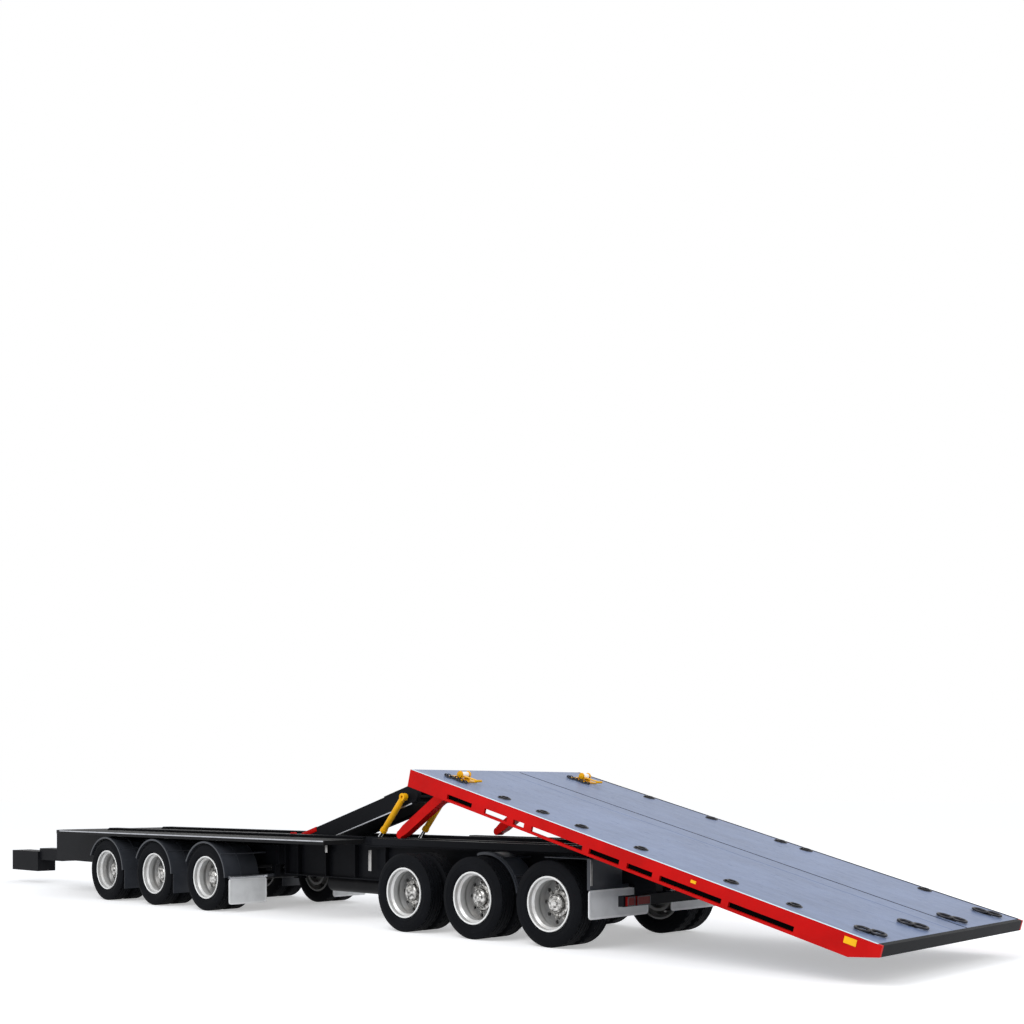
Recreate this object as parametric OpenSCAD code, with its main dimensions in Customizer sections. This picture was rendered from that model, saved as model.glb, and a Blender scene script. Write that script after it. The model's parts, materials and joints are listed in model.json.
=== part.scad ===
// Tilt and slide trailer: a low chassis on three twin-tyred axles, a three-axle turntable dolly
// with a fixed drawbar, and a wide deck that tilts about a rear shaft and slides along a cradle.
// +X is forward, +Y is left, +Z is up. Stations are counted forward from the last axle.

/* [Wheels] */
// Outer diameter of a tyre
tyre_d = 930; // [910:1:940]
// Width of one tyre
tyre_w = 250; // [235:1:255]
// Diameter of the seat that the tyre beads sit on
seat_d = 571; // [560:1:580]
// Distance between the two tyres of a twin, centre to centre
twin_pitch = 285; // [275:1:300]
// Distance from the middle of the trailer to the middle of a twin
twin_mid_y = 982; // [970:1:990]
// Diameter of an axle tube
axle_d = 127; // [110:1:140]
// Diameter of the spindle that a hub turns on
spindle_d = 100; // [80:1:105]

/* [Axles] */
// Distance between the chassis axles
rear_pitch = 1140; // [1110:5:1180]
// Distance between the dolly axles
dolly_pitch = 1330; // [1300:5:1350]
// Station of the turntable's centre
turntable_x = 7720; // [7700:5:7760]

/* [Chassis] */
// Width of the platform
platform_w = 2500; // [2440:10:2550]
// Height that the lowered deck rests at, over the rails and runways
rest_z = 1080; // [1080:1:1090]
// Height of the platform's top
platform_top = 1045; // [1040:1:1050]
// Station of the platform's nose
nose_x = 10900; // [10850:10:10950]
// Corner radius of the platform's nose
nose_r = 420; // [250:10:500]
// Distance from the middle to a main beam's web
beam_y = 500; // [490:1:510]
// Width of a main beam's flanges
flange_w = 150; // [130:2:150]
// Thickness of a main beam's web
web_t = 12; // [10:1:16]
// Thickness of a main beam's flanges
flange_t = 16; // [12:1:20]
// Height of the underside of the deep middle of the main beams
belly_z = 520; // [500:5:560]

/* [Drawbar] */
// Station of the front face of the coupling block
block_x = 14310; // [14250:10:14350]
// Diameter of the hole in the tow eye
eye_bore_d = 51; // [40:1:60]
// Thickness of the tow eye
eye_t = 46; // [40:1:60]

/* [Deck] */
// Length of the deck
deck_len = 6050; // [6000:10:6060]
// Width of the deck over its side rails
deck_w = 3000; // [2950:10:3020]
// Depth of the side rails
deck_depth = 200; // [195:1:205]
// Slope of the deck as it stands, in degrees
bed_tilt = 14.9; // [14.5:0.1:15.2]
// Station of the tilt shaft
pivot_x = -463; // [-470:1:-455]
// Height of the tilt shaft
pivot_z = 985; // [983:1:990]
// Distance from the tilt shaft forward to the deck's front edge, along the deck
deck_ahead = 2485; // [2470:5:2500]
// Diameter of the tilt shaft
shaft_d = 90; // [80:1:100]
// Height of the lashing slots in the side rails
slot_h = 54; // [40:1:60]

/* [Lifting gear] */
// Station of the lift frame's hinge
lift_x = 5450; // [5440:1:5460]
// Height of the lift frame's hinge
lift_z = 1010; // [1005:1:1012]
// Distance from the lift frame's hinge to its cross shaft
lift_len = 2384; // [2375:1:2390]
// Slope of the lift frame as it stands, in degrees
lift_angle = 16.4; // [16.2:0.1:16.6]
// Diameter of a ram's barrel
barrel_d = 80; // [70:1:84]
// Diameter of a ram's rod
rod_d = 50; // [40:1:55]
// Length of a prop leg from its pin to its roller
leg_len = 1127; // [1120:1:1135]

/* [Fits] */
// Radial clearance of a pin in its bore
pin_gap = 0.15; // [0.1:0.05:0.4]
// Clearance between faces that slide
slide_gap = 0.5; // [0.3:0.1:1]

/* [Hidden] */
$fn = 64;
SIDES = ["left", "right"];
WHEELS = ["f1", "f2", "f3", "r1", "r2", "r3"];
WHEEL_NODES = [for (kind = ["tyres", "rims"], wheel = WHEELS, side = SIDES) str(kind, "_", wheel, "_", side)];

axle_z = tyre_d / 2;
rear_axles_x = [for (i = [2 : -1 : 0]) i * rear_pitch];
dolly_axles_x = [for (i = [1 : -1 : -1]) turntable_x + i * dolly_pitch];
axles_x = concat(dolly_axles_x, rear_axles_x);
outer_y = twin_mid_y + twin_pitch / 2;
inner_y = twin_mid_y - twin_pitch / 2;

// Rims: half width, flange thickness and the sheet they are pressed from
rim_half = 100;
rim_flange_t = 8;
rim_flange_h = 14;
rim_sheet = 8;
seat_r = seat_d / 2;
well_depth = 24;
hub_r = 140;
drum_r = 205;
drum_in = inner_y - 115;
hub_out = twin_mid_y + 78;
cap_out = twin_mid_y + 138;
spindle_end = 20;
hand_holes = 10;
hand_hole_r = 224;
hand_hole_d = 46;
disc_t = 14;

// Chassis levels
beam_top = rest_z - 110;
bogie_z = 640;
neck_z = rest_z - 90;
plate_t = 12;
beam_rear_x = pivot_x - 177;
flange_y = [beam_y - flange_w / 2, beam_y + flange_w / 2];
lug_base_z = 900;
platform_rear_x = 3750;
opening_x = 5560;
opening_y = 450;
belly_front_x = 5440;
neck_step_x = nose_x - 780;
neck_step = 80;
edge_t = 30;
edge_h = platform_top - neck_z;
half_w = platform_w / 2;
runway_y = [800, 920];

// Dolly
race_r = 600;
race_t = 45;
dolly_beam_y = 430;
dolly_beam_w = 90;
dolly_top = neck_z - 30 - race_t;
guard_r = tyre_d / 2 + 35;
guard_t = 6;
guard_in_y = 690;
eye_x = block_x + 110;
eye_r = 70;

// Deck
plate_top = 8;
rail_t = 30;
lip_len = 50;
tail_start = deck_len - 280;
tail_h = 105;
shoe_top = 105;
deck_rise = deck_depth + shoe_top;
runner_y = 300;
runner_w = 120;
shoe_half = 80;
guide_h = 40;
guide_room = 15;
seam = 6;
leg_pin_s = 150;
leg_pin_n = -140;
leg_w = runway_y[1] - runway_y[0];
roller_d = 100;
roller_gap = 9.3;
leg_pin_z = pivot_z + (deck_ahead - leg_pin_s) * sin(bed_tilt) + (deck_rise + leg_pin_n) * cos(bed_tilt);
leg_angle = asin((leg_pin_z - rest_z - roller_d / 2 - roller_gap) / leg_len);
// Lashing slots along a side rail: start and length
SLOTS = [[660, 400], [1260, 350], [1700, 160], [1970, 720], [2780, 400], [3280, 320], [3690, 730], [4500, 710]];

// Rams
ram_x = 3830;
ram_z = 900;
ram_y = 372;
barrel_len = 600;
barrel_end = 70;
rod_engaged = 54;
lift_shaft_d = 60;
lift_shaft_back = 79;
lift_shaft_drop = 67;
lift_shaft_l = lift_len - lift_shaft_back;
lift_tip = [lift_x - lift_shaft_l * cos(lift_angle) - lift_shaft_drop * sin(lift_angle),
            lift_z + lift_shaft_l * sin(lift_angle) - lift_shaft_drop * cos(lift_angle)];
ram_reach = norm(lift_tip - [ram_x, ram_z]);
rod_len = ram_reach - barrel_len + rod_engaged;
ram_angle = atan2(lift_tip[1] - ram_z, ram_x - lift_tip[0]);

front_x = eye_x + eye_r;
rear_x = pivot_x + (deck_ahead - deck_len) * cos(bed_tilt) - deck_rise * sin(bed_tilt);
mid_x = (front_x + rear_x) / 2;

black = [0.07, 0.07, 0.08];
red = [0.8, 0.07, 0.05];
steel = [0.6, 0.63, 0.7];
silver = [0.78, 0.79, 0.8];
rubber = [0.05, 0.05, 0.05];
yellow = [0.95, 0.68, 0.02];

// Moves stations to the trailer's own frame, which has its origin under the middle of its box
module standing() translate([-mid_x, 0, 0]) children();

// Repeats a piece on the other side of the trailer
module both_sides() {
    children();
    mirror([0, 1, 0]) children();
}

// Box between two corners
module block(x, y, z) translate([x[0], y[0], z[0]]) cube([x[1] - x[0], y[1] - y[0], z[1] - z[0]]);

// Upright plate with its outline in the XZ plane
module side_plate(y) translate([0, y[1], 0]) rotate([90, 0, 0]) linear_extrude(y[1] - y[0]) children();

// Cylinder along Y at a place in the XZ plane
module round_bar(x, z, d, y) translate([x, y[0], z]) rotate([-90, 0, 0]) cylinder(d = d, h = y[1] - y[0]);

// Revolves a half section about the Y axis: its columns are the radius and the distance along Y
module turned() rotate([-90, 0, 0]) rotate_extrude() children();

// Deck's own frame: x forward from its front edge, z up from its top face
module on_deck() translate([pivot_x, 0, pivot_z]) rotate([0, -bed_tilt, 0])
    translate([deck_ahead, 0, deck_rise]) children();

// Box on the deck, with s counted backward from the front edge
module deck_block(s, y, n) block([-s[1], -s[0]], y, n);

function mirrored(points) =
    concat(points, [for (i = [len(points) - 1 : -1 : 0]) [points[i][0], -points[i][1]]]);
function oval(c, rx, ry, a0, a1, n) = [
    for (i = [0 : n]) let (a = a0 + (a1 - a0) * i / n) c + [rx * cos(a), ry * sin(a)]];

// Wheels

module tyre(y) {
    bead = seat_r + slide_gap;
    heel = rim_half - rim_flange_t - slide_gap;
    flange_top = seat_r + rim_flange_h + 2;
    half = tyre_w / 2;
    wall_r = (flange_top + tyre_d / 2 - 10) / 2;
    wall_h = wall_r - flange_top;
    outside = concat([[bead, heel], [flange_top, heel]],
        oval([wall_r, half - 26], wall_h, 26, 172, 10, 8),
        [[tyre_d / 2, half - 38]]);
    inside = concat([[bead, heel - 30], [flange_top, heel - 28]],
        oval([wall_r, half - 42], wall_h - 8, 26, 165, 15, 5),
        [[tyre_d / 2 - 22, half - 62]]);
    translate([0, y, 0]) turned() difference() {
        polygon(mirrored(outside));
        polygon(mirrored(inside));
    }
}

module barrel_section(c) {
    outside = [[0, rim_half], [seat_r + rim_flange_h, rim_half], [seat_r + rim_flange_h, rim_half - rim_flange_t],
               [seat_r, rim_half - rim_flange_t], [seat_r, 60], [seat_r - well_depth, 38]];
    inside = [[seat_r - rim_sheet, rim_half], [seat_r - rim_sheet, 56], [seat_r - well_depth - rim_sheet, 34]];
    translate([0, c]) difference() {
        polygon(mirrored(outside));
        polygon(mirrored(concat([[0, rim_half + 1], [seat_r - rim_sheet, rim_half + 1]], inside)));
    }
}

// Disc of one rim: flat from the hub, then turned out to its barrel
module disc_section(side) {
    flat_r = 258;
    reach = twin_pitch / 2 - 84;
    edge_r = seat_r - rim_sheet + 2;
    translate([0, twin_mid_y]) polygon([[hub_r - 5, 0], [flat_r, 0], [edge_r, side * (reach - 16)],
        [edge_r, side * reach], [flat_r - 8, side * disc_t], [hub_r - 5, side * disc_t]]);
}

module hub_section() {
    bore = spindle_d / 2 + pin_gap;
    difference() {
        union() {
            translate([0, twin_mid_y - 120]) square([hub_r, hub_out - twin_mid_y + 120]);
            translate([0, drum_in]) square([drum_r, twin_mid_y - 90 - drum_in]);
            polygon([[0, hub_out - 1], [105, hub_out - 1], [95, cap_out - 15], [80, cap_out], [0, cap_out]]);
        }
        translate([-1, drum_in - 1]) square([bore + 1, hub_out - drum_in - 10]);
        translate([bore - 1, drum_in - 1]) square([drum_r - 35 - bore, 100]);
    }
}

module twin_rims() color(silver) difference() {
    turned() {
        barrel_section(outer_y);
        barrel_section(inner_y);
        disc_section(1);
        disc_section(-1);
        hub_section();
    }
    for (i = [0 : hand_holes - 1]) rotate([0, i * 360 / hand_holes, 0]) {
        round_bar(hand_hole_r, 0, hand_hole_d, [twin_mid_y - 40, twin_mid_y + 40]);
    }
}

module twin_tyres() color(rubber) {
    tyre(outer_y);
    tyre(inner_y);
}

module at_wheel(i, side) translate([axles_x[i], 0, axle_z]) mirror([0, side == "left" ? 0 : 1, 0]) children();

module axles(stations) color(black) for (x = stations) translate([x, 0, axle_z]) union() {
    round_bar(0, 0, axle_d, [-drum_in + 8, drum_in - 8]);
    round_bar(0, 0, spindle_d, [spindle_end - hub_out, hub_out - spindle_end]);
    both_sides() round_bar(0, 0, axle_d + 60, [drum_in - 40, drum_in - 20]);
}

// Suspension: trailing arm, axle clamp and hanger below a beam, for one side of every axle
arm_w = 90;
arm_z = [540, 580];
hanger_ahead = 430;
bag_behind = 300;
bag_d = 220;
cheek_t = 14;

module suspension(stations, y, level) color(black) both_sides() for (x = stations) {
    arm = [y - arm_w / 2, y + arm_w / 2];
    difference() {
        union() {
            block([x - bag_behind - 95, x + hanger_ahead], arm, arm_z);
            block([x - 85, x + 85], [arm[0] - 10, arm[1] + 10], [axle_z - 85, arm_z[0]]);
            round_bar(x + hanger_ahead, 560, 90, arm);
            for (side = [arm[0] - cheek_t, arm[1]]) {
                block([x + hanger_ahead - 70, x + hanger_ahead + 70], [side, side + cheek_t], [500, level]);
            }
            round_bar(x + hanger_ahead, 560, 44, [arm[0] - cheek_t - 22, arm[1] + cheek_t + 22]);
        }
        round_bar(x, axle_z, axle_d, [arm[0] - 20, arm[1] + 20]);
    }
}

module air_bags(stations, y, level) color(rubber) both_sides() for (x = stations) {
    translate([x - bag_behind, y, arm_z[1]]) rotate_extrude() polygon([[0, 0], [85, 0], [bag_d / 2, 18],
        [bag_d / 2, level - arm_z[1] - 18], [85, level - arm_z[1]], [0, level - arm_z[1]]]);
}

// Guards: a round shell on two stay bars from the beam,
// with a lip at its outer edge and a bead along its middle
bar_d = 28;
lip_h = 18;
bead_w = 24;

module guard(x, beam, y, arc, bars) translate([x, 0, axle_z]) {
    side_plate(y) arc_shell(guard_r, guard_r + guard_t, arc);
    side_plate([y[1] - guard_t, y[1]]) arc_shell(guard_r - lip_h, guard_r + guard_t, arc);
    side_plate([twin_mid_y - bead_w / 2, twin_mid_y + bead_w / 2])
        arc_shell(guard_r, guard_r + guard_t + 8, arc);
    for (a = bars) {
        round_bar((guard_r + 10) * cos(a), (guard_r + 10) * sin(a), bar_d, [beam, y[1] - 20]);
    }
}

// Band between two radii from one angle to another, counted upward from the front
module arc_shell(inner, outer, arc) intersection() {
    difference() {
        circle(outer, $fn = 96);
        circle(inner, $fn = 96);
    }
    polygon(concat([[0, 0]], oval([0, 0], 2 * outer, 2 * outer, arc[0], arc[1], 6)));
}

// Chassis

// Flange along one straight stretch of a beam, its thickness counted upward
module flange(a, b) both_sides() side_plate(flange_y)
    polygon([a, b, b + [0, flange_t], a + [0, flange_t]]);

knee_x = [2820, 3150];
stiffeners_x = [3350, 3950, 4550, 5150];

module main_beams() color(black) {
    bottom = [[beam_rear_x, bogie_z], [knee_x[0], bogie_z], [knee_x[1], belly_z], [belly_front_x, belly_z]];
    top_rear = pivot_x + 110;
    neck_front = nose_x - 300;
    neck_rear = platform_rear_x + edge_t;
    low_top = platform_top - plate_t;
    difference() {
        union() {
            both_sides() {
                side_plate([beam_y - web_t / 2, beam_y + web_t / 2]) polygon(concat(bottom,
                    [[belly_front_x, neck_z], [neck_front, neck_z], [neck_front, low_top],
                     [neck_step_x + neck_step, low_top], [neck_step_x, rest_z], [neck_rear, rest_z],
                     [neck_rear, beam_top], [top_rear, beam_top],
                     [top_rear, lug_base_z], [beam_rear_x, lug_base_z]]));
                block([belly_front_x - flange_t, neck_front], flange_y, [neck_z, neck_z + flange_t]);
                block([neck_rear, neck_step_x], flange_y, [rest_z - flange_t, rest_z]);
                block([neck_step_x + neck_step, neck_front], flange_y, [low_top - flange_t, low_top]);
                side_plate(flange_y) polygon([[neck_step_x - 1, rest_z - flange_t], [neck_step_x - 1, rest_z],
                    [neck_step_x, rest_z], [neck_step_x + neck_step, low_top],
                    [neck_step_x + neck_step, low_top - flange_t]]);
                block([belly_front_x - flange_t, belly_front_x], flange_y, [belly_z, neck_z + flange_t]);
                for (x = stiffeners_x) {
                    block([x - 6, x + 6], [beam_y, flange_y[1] - 4], [belly_z, beam_top]);
                }
                tilt_lug();
                ram_bracket();
            }
            for (i = [0 : 2]) flange(bottom[i], bottom[i + 1]);
            flange([top_rear, beam_top - flange_t], [platform_rear_x, beam_top - flange_t]);
            flange([beam_rear_x, lug_base_z - flange_t], [top_rear, lug_base_z - flange_t]);
        }
        round_bar(pivot_x, pivot_z, shaft_d + 2 * pin_gap, [-half_w, half_w]);
    }
}

// Bearing lug for the tilt shaft, on the beam's lowered rear end
module tilt_lug() side_plate([beam_y - 60, beam_y + 60]) {
    translate([pivot_x, pivot_z]) circle(d = shaft_d + 66);
    translate([pivot_x - 110, lug_base_z - 1]) square([220, 50]);
    translate([pivot_x - shaft_d / 2 - 33, lug_base_z]) square([shaft_d + 66, pivot_z - lug_base_z]);
}

ram_gap = 8;
ram_eye_half = 34;
ram_pin_d = 40;
ram_eye_d = 96;

// Bracket that carries a ram's lower pin, inside the beam
module ram_bracket() {
    inside = ram_y - ram_eye_half - ram_gap;
    outside = ram_y + ram_eye_half + ram_gap;
    foot = [ram_z - 95, ram_z - 60];
    for (y = [[inside - cheek_t, inside], [outside, outside + cheek_t]]) {
        side_plate(y) {
            translate([ram_x, ram_z]) circle(d = 110);
            translate([ram_x - 55, foot[0]]) square([110, ram_z - foot[0]]);
        }
    }
    block([ram_x - 55, ram_x + 55], [inside - cheek_t, beam_y], foot);
    block([ram_x - 8, ram_x + 8], [outside, beam_y], [foot[0], ram_z + 40]);
    round_bar(ram_x, ram_z, ram_pin_d, [inside - cheek_t, outside + cheek_t]);
}

crossmembers_x = [-600, 520, 1700, 2830, 3500, 4800, 5330];
cross_w = 80;
cross_top = 790;

module crossmembers() color(black) {
    inner = beam_y - web_t / 2;
    z = [bogie_z + flange_t, cross_top];
    for (x = crossmembers_x) block([x - cross_w / 2, x + cross_w / 2], [-inner, inner], z);
}

outrigger_pitch = 890;
outrigger_t = 20;
outrigger_end = nose_x - 400;

module outriggers() color(black) {
    z = [platform_top - edge_h, platform_top - plate_t];
    both_sides() for (x = [platform_rear_x + 100 : outrigger_pitch : outrigger_end]) {
        block([x, x + outrigger_t], [flange_y[1], half_w - edge_t], z);
    }
    for (x = [opening_x + 60 : outrigger_pitch : outrigger_end]) {
        block([x, x + outrigger_t], [-flange_y[0], flange_y[0]], z);
    }
}

module platform_outline(inset) {
    straight = nose_x - nose_r - platform_rear_x - inset;
    translate([platform_rear_x + inset, inset - half_w]) square([straight, platform_w - 2 * inset]);
    translate([nose_x - nose_r - 1, nose_r - half_w]) square([nose_r + 1 - inset, platform_w - 2 * nose_r]);
    for (side = [1, -1]) translate([nose_x - nose_r, side * (half_w - nose_r)]) circle(nose_r - inset);
}

module platform() color(silver) {
    slot_y = [flange_y[0] - slide_gap, flange_y[1] + slide_gap];
    difference() {
        translate([0, 0, platform_top - edge_h]) linear_extrude(edge_h) platform_outline(0);
        translate([0, 0, platform_top - edge_h - 1])
            linear_extrude(edge_h - plate_t + 1) platform_outline(edge_t);
        block([platform_rear_x - 1, opening_x], [-opening_y, opening_y], [neck_z - 1, platform_top + 1]);
        both_sides()
            block([platform_rear_x - 1, neck_step_x + neck_step], slot_y, [neck_z - 1, platform_top + 1]);
    }
}

runway_x = [-350, 3200];
runway_h = 80;
runway_stays_x = [-150, 570, 1710, 2700];

// Side runways over the wheels, for the prop legs' rollers
module side_runways() color(black) both_sides() {
    z = [rest_z - runway_h, rest_z];
    difference() {
        block(runway_x, runway_y, z);
        block([runway_x[0] - 1, runway_x[1] + 1], [runway_y[0] + 8, runway_y[1] - 8], [z[0] - 1, z[1] - 10]);
    }
    for (x = runway_stays_x) block([x - 30, x + 30], [beam_y + 50, runway_y[0] + 1], [z[0], z[1] - 10]);
}

// Rails on the main beams that the lowered deck rests over
module slide_rails() color(black) both_sides() {
    block([pivot_x + 200, platform_rear_x], [beam_y - 50, beam_y + 50], [beam_top, rest_z]);
}

module race(z, r) translate([turntable_x, 0, z[0]]) difference() {
    cylinder(r = r, h = z[1] - z[0], $fn = 96);
    translate([0, 0, -1]) cylinder(r = r - 130, h = z[1] - z[0] + 2, $fn = 96);
}

module turntable_upper() color(black) race([neck_z - 30, neck_z], race_r);

lug_t = 18;
lug_top = rest_z + 20;
lug_half = 105;
lift_pin_d = 70;
lift_pin_room = 6;
lift_pin_half = flange_y[0] - lift_pin_room;

module lift_hinge_lugs() color(red) both_sides() difference() {
    side_plate([flange_y[0] - lug_t, flange_y[0]]) {
        translate([lift_x, lift_z]) circle(d = 130);
        polygon([[lift_x - lug_half, neck_z], [lift_x + lug_half, neck_z], [lift_x + lug_half, lug_top - 50],
            [lift_x + 50, lug_top], [lift_x - 50, lug_top], [lift_x - lug_half, lug_top - 50]]);
    }
    round_bar(lift_x, lift_z, lift_pin_d + 2 * pin_gap, [0, beam_y]);
}

bolster_x = [-1000, -930];
bolster_z = [490, 600];
bolster_half = 1200;

module rear_bolster() color(black) {
    block(bolster_x, [-bolster_half, bolster_half], bolster_z);
    both_sides() block([bolster_x[1], beam_rear_x], [beam_y - 60, beam_y + 60], [bolster_z[0], bogie_z + 120]);
}

// Rear lamps: distance from the middle, and width
LAMPS = [[900, 220], [1110, 120]];

module rear_lamps() color(red) both_sides() for (lamp = LAMPS) {
    y = [lamp[0] - lamp[1] / 2, lamp[0] + lamp[1] / 2];
    block([bolster_x[0] - 30, bolster_x[0]], y, [bolster_z[0] + 8, bolster_z[1] - 8]);
}

module rear_suspension() suspension(rear_axles_x, beam_y, bogie_z);
module rear_air_bags() air_bags(rear_axles_x, beam_y, bogie_z);
module rear_axles() axles(rear_axles_x);

// Arc behind the middle wheels, and a flat guard with an upright end over the last ones
module rear_guards() color(black) both_sides() {
    guard(rear_pitch, beam_y + web_t / 2, [guard_in_y, twin_mid_y + 30], [75, 172], [118, 150]);
    back = -flap_behind - flap_bar_h / 2;
    foot = rear_flap_z[1] + flap_bar_h - 1;
    block([back, tail_guard_x], [guard_in_y, flap_out], tail_guard_z);
    block([tail_guard_x - 300, tail_guard_x], [flange_y[1], guard_in_y + 1], tail_guard_z);
    block([back, back + guard_t], [guard_in_y, flap_out], [foot, tail_guard_z[1]]);
    block([back + 5, back + flap_bar_h], [flap_out - flap_bar_h, flap_out], [foot, tail_guard_z[0] + 1]);
    flap_bar(-flap_behind, flange_y[1], rear_flap_z[1]);
}

// Bar that a flap hangs from, out from a beam
module flap_bar(x, beam, z)
    block([x - flap_bar_h / 2, x + flap_bar_h / 2], [beam, flap_out], [z, z + flap_bar_h]);

flap_bar_h = 40;
flap_behind = 560;
flap_t = 10;
flap_out = 1225;
flap_r = 40;
tail_guard_x = 50;
tail_guard_z = [960, 966];

// Flap behind the last wheels, with round corners, hung from a bar
module flap(x, inner, z) translate([x + flap_t / 2, 0, 0]) rotate([0, -90, 0]) linear_extrude(flap_t) {
    translate([z[0] + flap_r, inner]) square([z[1] - z[0] - 2 * flap_r, flap_out - inner]);
    translate([z[0], inner + flap_r]) square([z[1] - z[0], flap_out - inner - 2 * flap_r]);
    for (v = [z[0] + flap_r, z[1] - flap_r], y = [inner + flap_r, flap_out - flap_r]) {
        translate([v, y]) circle(flap_r);
    }
}

rear_flap_z = [330, 638];
rear_flap_in = 215;

module rear_mudflaps() color(silver) both_sides() flap(-flap_behind, rear_flap_in, rear_flap_z);

tank_r = 125;
tank_x = [3600, 4700];
tank_z = belly_z - 80;
tank_y = 290;

module air_tanks() color(black) both_sides() {
    translate([tank_x[0], tank_y, tank_z]) rotate([0, 90, 0]) cylinder(r = tank_r, h = tank_x[1] - tank_x[0]);
    for (x = [tank_x[0] + 200, tank_x[1] - 200]) {
        block([x - 25, x + 25], [tank_y, beam_y - web_t / 2], [belly_z + 20, belly_z + 80]);
    }
}

// Dolly

dolly_behind = 2020;
dolly_ahead = 2280;
dolly_rear_x = turntable_x - dolly_behind;
dolly_front_x = turntable_x + dolly_ahead;
dolly_cross_w = 120;

module dolly_frame() color(black) {
    inner = dolly_beam_y - dolly_beam_w / 2;
    beam = [inner, inner + dolly_beam_w];
    hanger = dolly_axles_x[2] - flap_behind;
    both_sides() {
        block([dolly_rear_x, dolly_front_x], beam, [bogie_z, dolly_top]);
        block([hanger - 40, hanger + 40], beam, [dolly_flap_z[1], bogie_z]);
    }
    for (x = [dolly_rear_x, turntable_x - race_r, turntable_x + race_r - dolly_cross_w,
              dolly_front_x - dolly_cross_w]) {
        block([x, x + dolly_cross_w], [-inner, inner], [bogie_z + 60, dolly_top]);
    }
}

module turntable_lower() color(black) {
    race([dolly_top, dolly_top + race_t - slide_gap], race_r - 40);
}

drawbar_box_len = 2000;
drawbar_z = [500, 950];
neck_bar_x = block_x - 980;
neck_bar_z = [430, 640];
block_z = [220, 580];

box_half = [620, 500];
neck_bar_half = 130;
block_half = 170;

// Tapered box ahead of the dolly's frame, a neck that drops from it, and the coupling block
module drawbar() color(black) {
    box_front = dolly_front_x + drawbar_box_len;
    translate([0, 0, drawbar_z[0]]) linear_extrude(drawbar_z[1] - drawbar_z[0])
        polygon([[dolly_front_x, -box_half[0]], [box_front, -box_half[1]], [box_front, box_half[1]],
                 [dolly_front_x, box_half[0]]]);
    side_plate([-neck_bar_half, neck_bar_half]) polygon([
        [box_front - 5, drawbar_z[0]],
        [box_front + 500, neck_bar_z[0]],
        [neck_bar_x + 5, neck_bar_z[0]],
        [neck_bar_x + 5, neck_bar_z[1]],
        [box_front + 400, neck_bar_z[1]],
        [box_front - 5, drawbar_z[1] - 60]
    ]);
    block([neck_bar_x, block_x], [-block_half, block_half], block_z);
}

module tow_eye() color(silver) difference() {
    z = (block_z[0] + block_z[1]) / 2;
    union() {
        translate([eye_x, 0, z - eye_t / 2]) cylinder(r = eye_r, h = eye_t);
        block([block_x, eye_x], [-45, 45], [z - eye_t / 2, z + eye_t / 2]);
    }
    translate([eye_x, 0, z - eye_t]) cylinder(d = eye_bore_d, h = 2 * eye_t);
}

module dolly_suspension() suspension(dolly_axles_x, dolly_beam_y, bogie_z);
module dolly_air_bags() air_bags(dolly_axles_x, dolly_beam_y, bogie_z);
module dolly_axles() axles(dolly_axles_x);

// Arcs over the dolly's wheels, with a plain flap behind the first two
module dolly_guards() color(black) both_sides() {
    beam = dolly_beam_y + dolly_beam_w / 2;
    for (x = dolly_axles_x) guard(x, beam, [guard_in_y, half_w + 4], [25, 178], [45, 138]);
    for (i = [0, 1]) {
        back = dolly_axles_x[i] - guard_r;
        block([back - guard_t, back], [guard_in_y + 30, half_w - 30], [inner_flap_low, axle_z + 30]);
    }
    flap_bar(dolly_axles_x[2] - flap_behind, beam, dolly_flap_z[1]);
}

inner_flap_low = 200;
dolly_flap_z = [115, 470];
dolly_flap_in = 600;

module dolly_mudflaps() color(silver) both_sides()
    flap(dolly_axles_x[2] - flap_behind, dolly_flap_in, dolly_flap_z);

// Cradle: tilt shaft with two long shoes that the deck's runners slide on

module cradle() color(black) translate([pivot_x, 0, pivot_z]) rotate([0, -bed_tilt, 0]) {
    shaft_half = beam_y + 85;
    round_bar(0, 0, shaft_d, [-shaft_half, shaft_half]);
    both_sides() {
        block([-600, 600], [runner_y - shoe_half, runner_y + shoe_half], [45, shoe_top]);
        side_plate([runner_y - 40, runner_y + 40]) polygon([[-260, 46], [-60, -30], [60, -30], [260, 46]]);
        for (y = [runner_y - shoe_half, runner_y + runner_w / 2 + slide_gap]) {
            block([-600, 600], [y, y + shoe_half - runner_w / 2 - slide_gap], [shoe_top - 1, shoe_top + guide_h]);
        }
    }
}

// Deck

front_beam_h = 62;
rib_h = 120;
rib_pitch = 640;

module deck_frame() color(black) on_deck() {
    ends = rail_t - deck_w / 2;
    deck_block([0, 90], [ends, -ends], [-front_beam_h, -plate_top]);
    for (s = [300 : rib_pitch : tail_start - 200])
        deck_block([s, s + 70], [ends, -ends], [-rib_h, -plate_top]);
    both_sides() {
        deck_block([0, tail_start], [runner_y - runner_w / 2, runner_y + runner_w / 2],
            [slide_gap - deck_depth, -plate_top]);
        difference() {
            for (y = [runway_y[0] - 30, runway_y[1] + 10]) leg_lug(y);
            round_bar(-leg_pin_s, leg_pin_n, leg_pin_d + 2 * pin_gap, [runway_y[0] - 40, runway_y[1] + 40]);
        }
    }
}

leg_pin_d = 60;

// Lug plate that carries a prop leg's pin, below the front beam
module leg_lug(y) side_plate([y, y + 20]) {
    translate([-leg_pin_s, leg_pin_n]) circle(d = 110);
    polygon([[-leg_pin_s - 55, leg_pin_n], [-leg_pin_s - 55, -plate_top], [-20, -plate_top],
        [-20, -front_beam_h], [-leg_pin_s + 55, leg_pin_n]]);
}

module deck_plates() color(steel) on_deck() both_sides() {
    deck_block([0, deck_len - lip_len], [seam / 2, deck_w / 2 - rail_t], [-plate_top, 0]);
}

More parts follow.
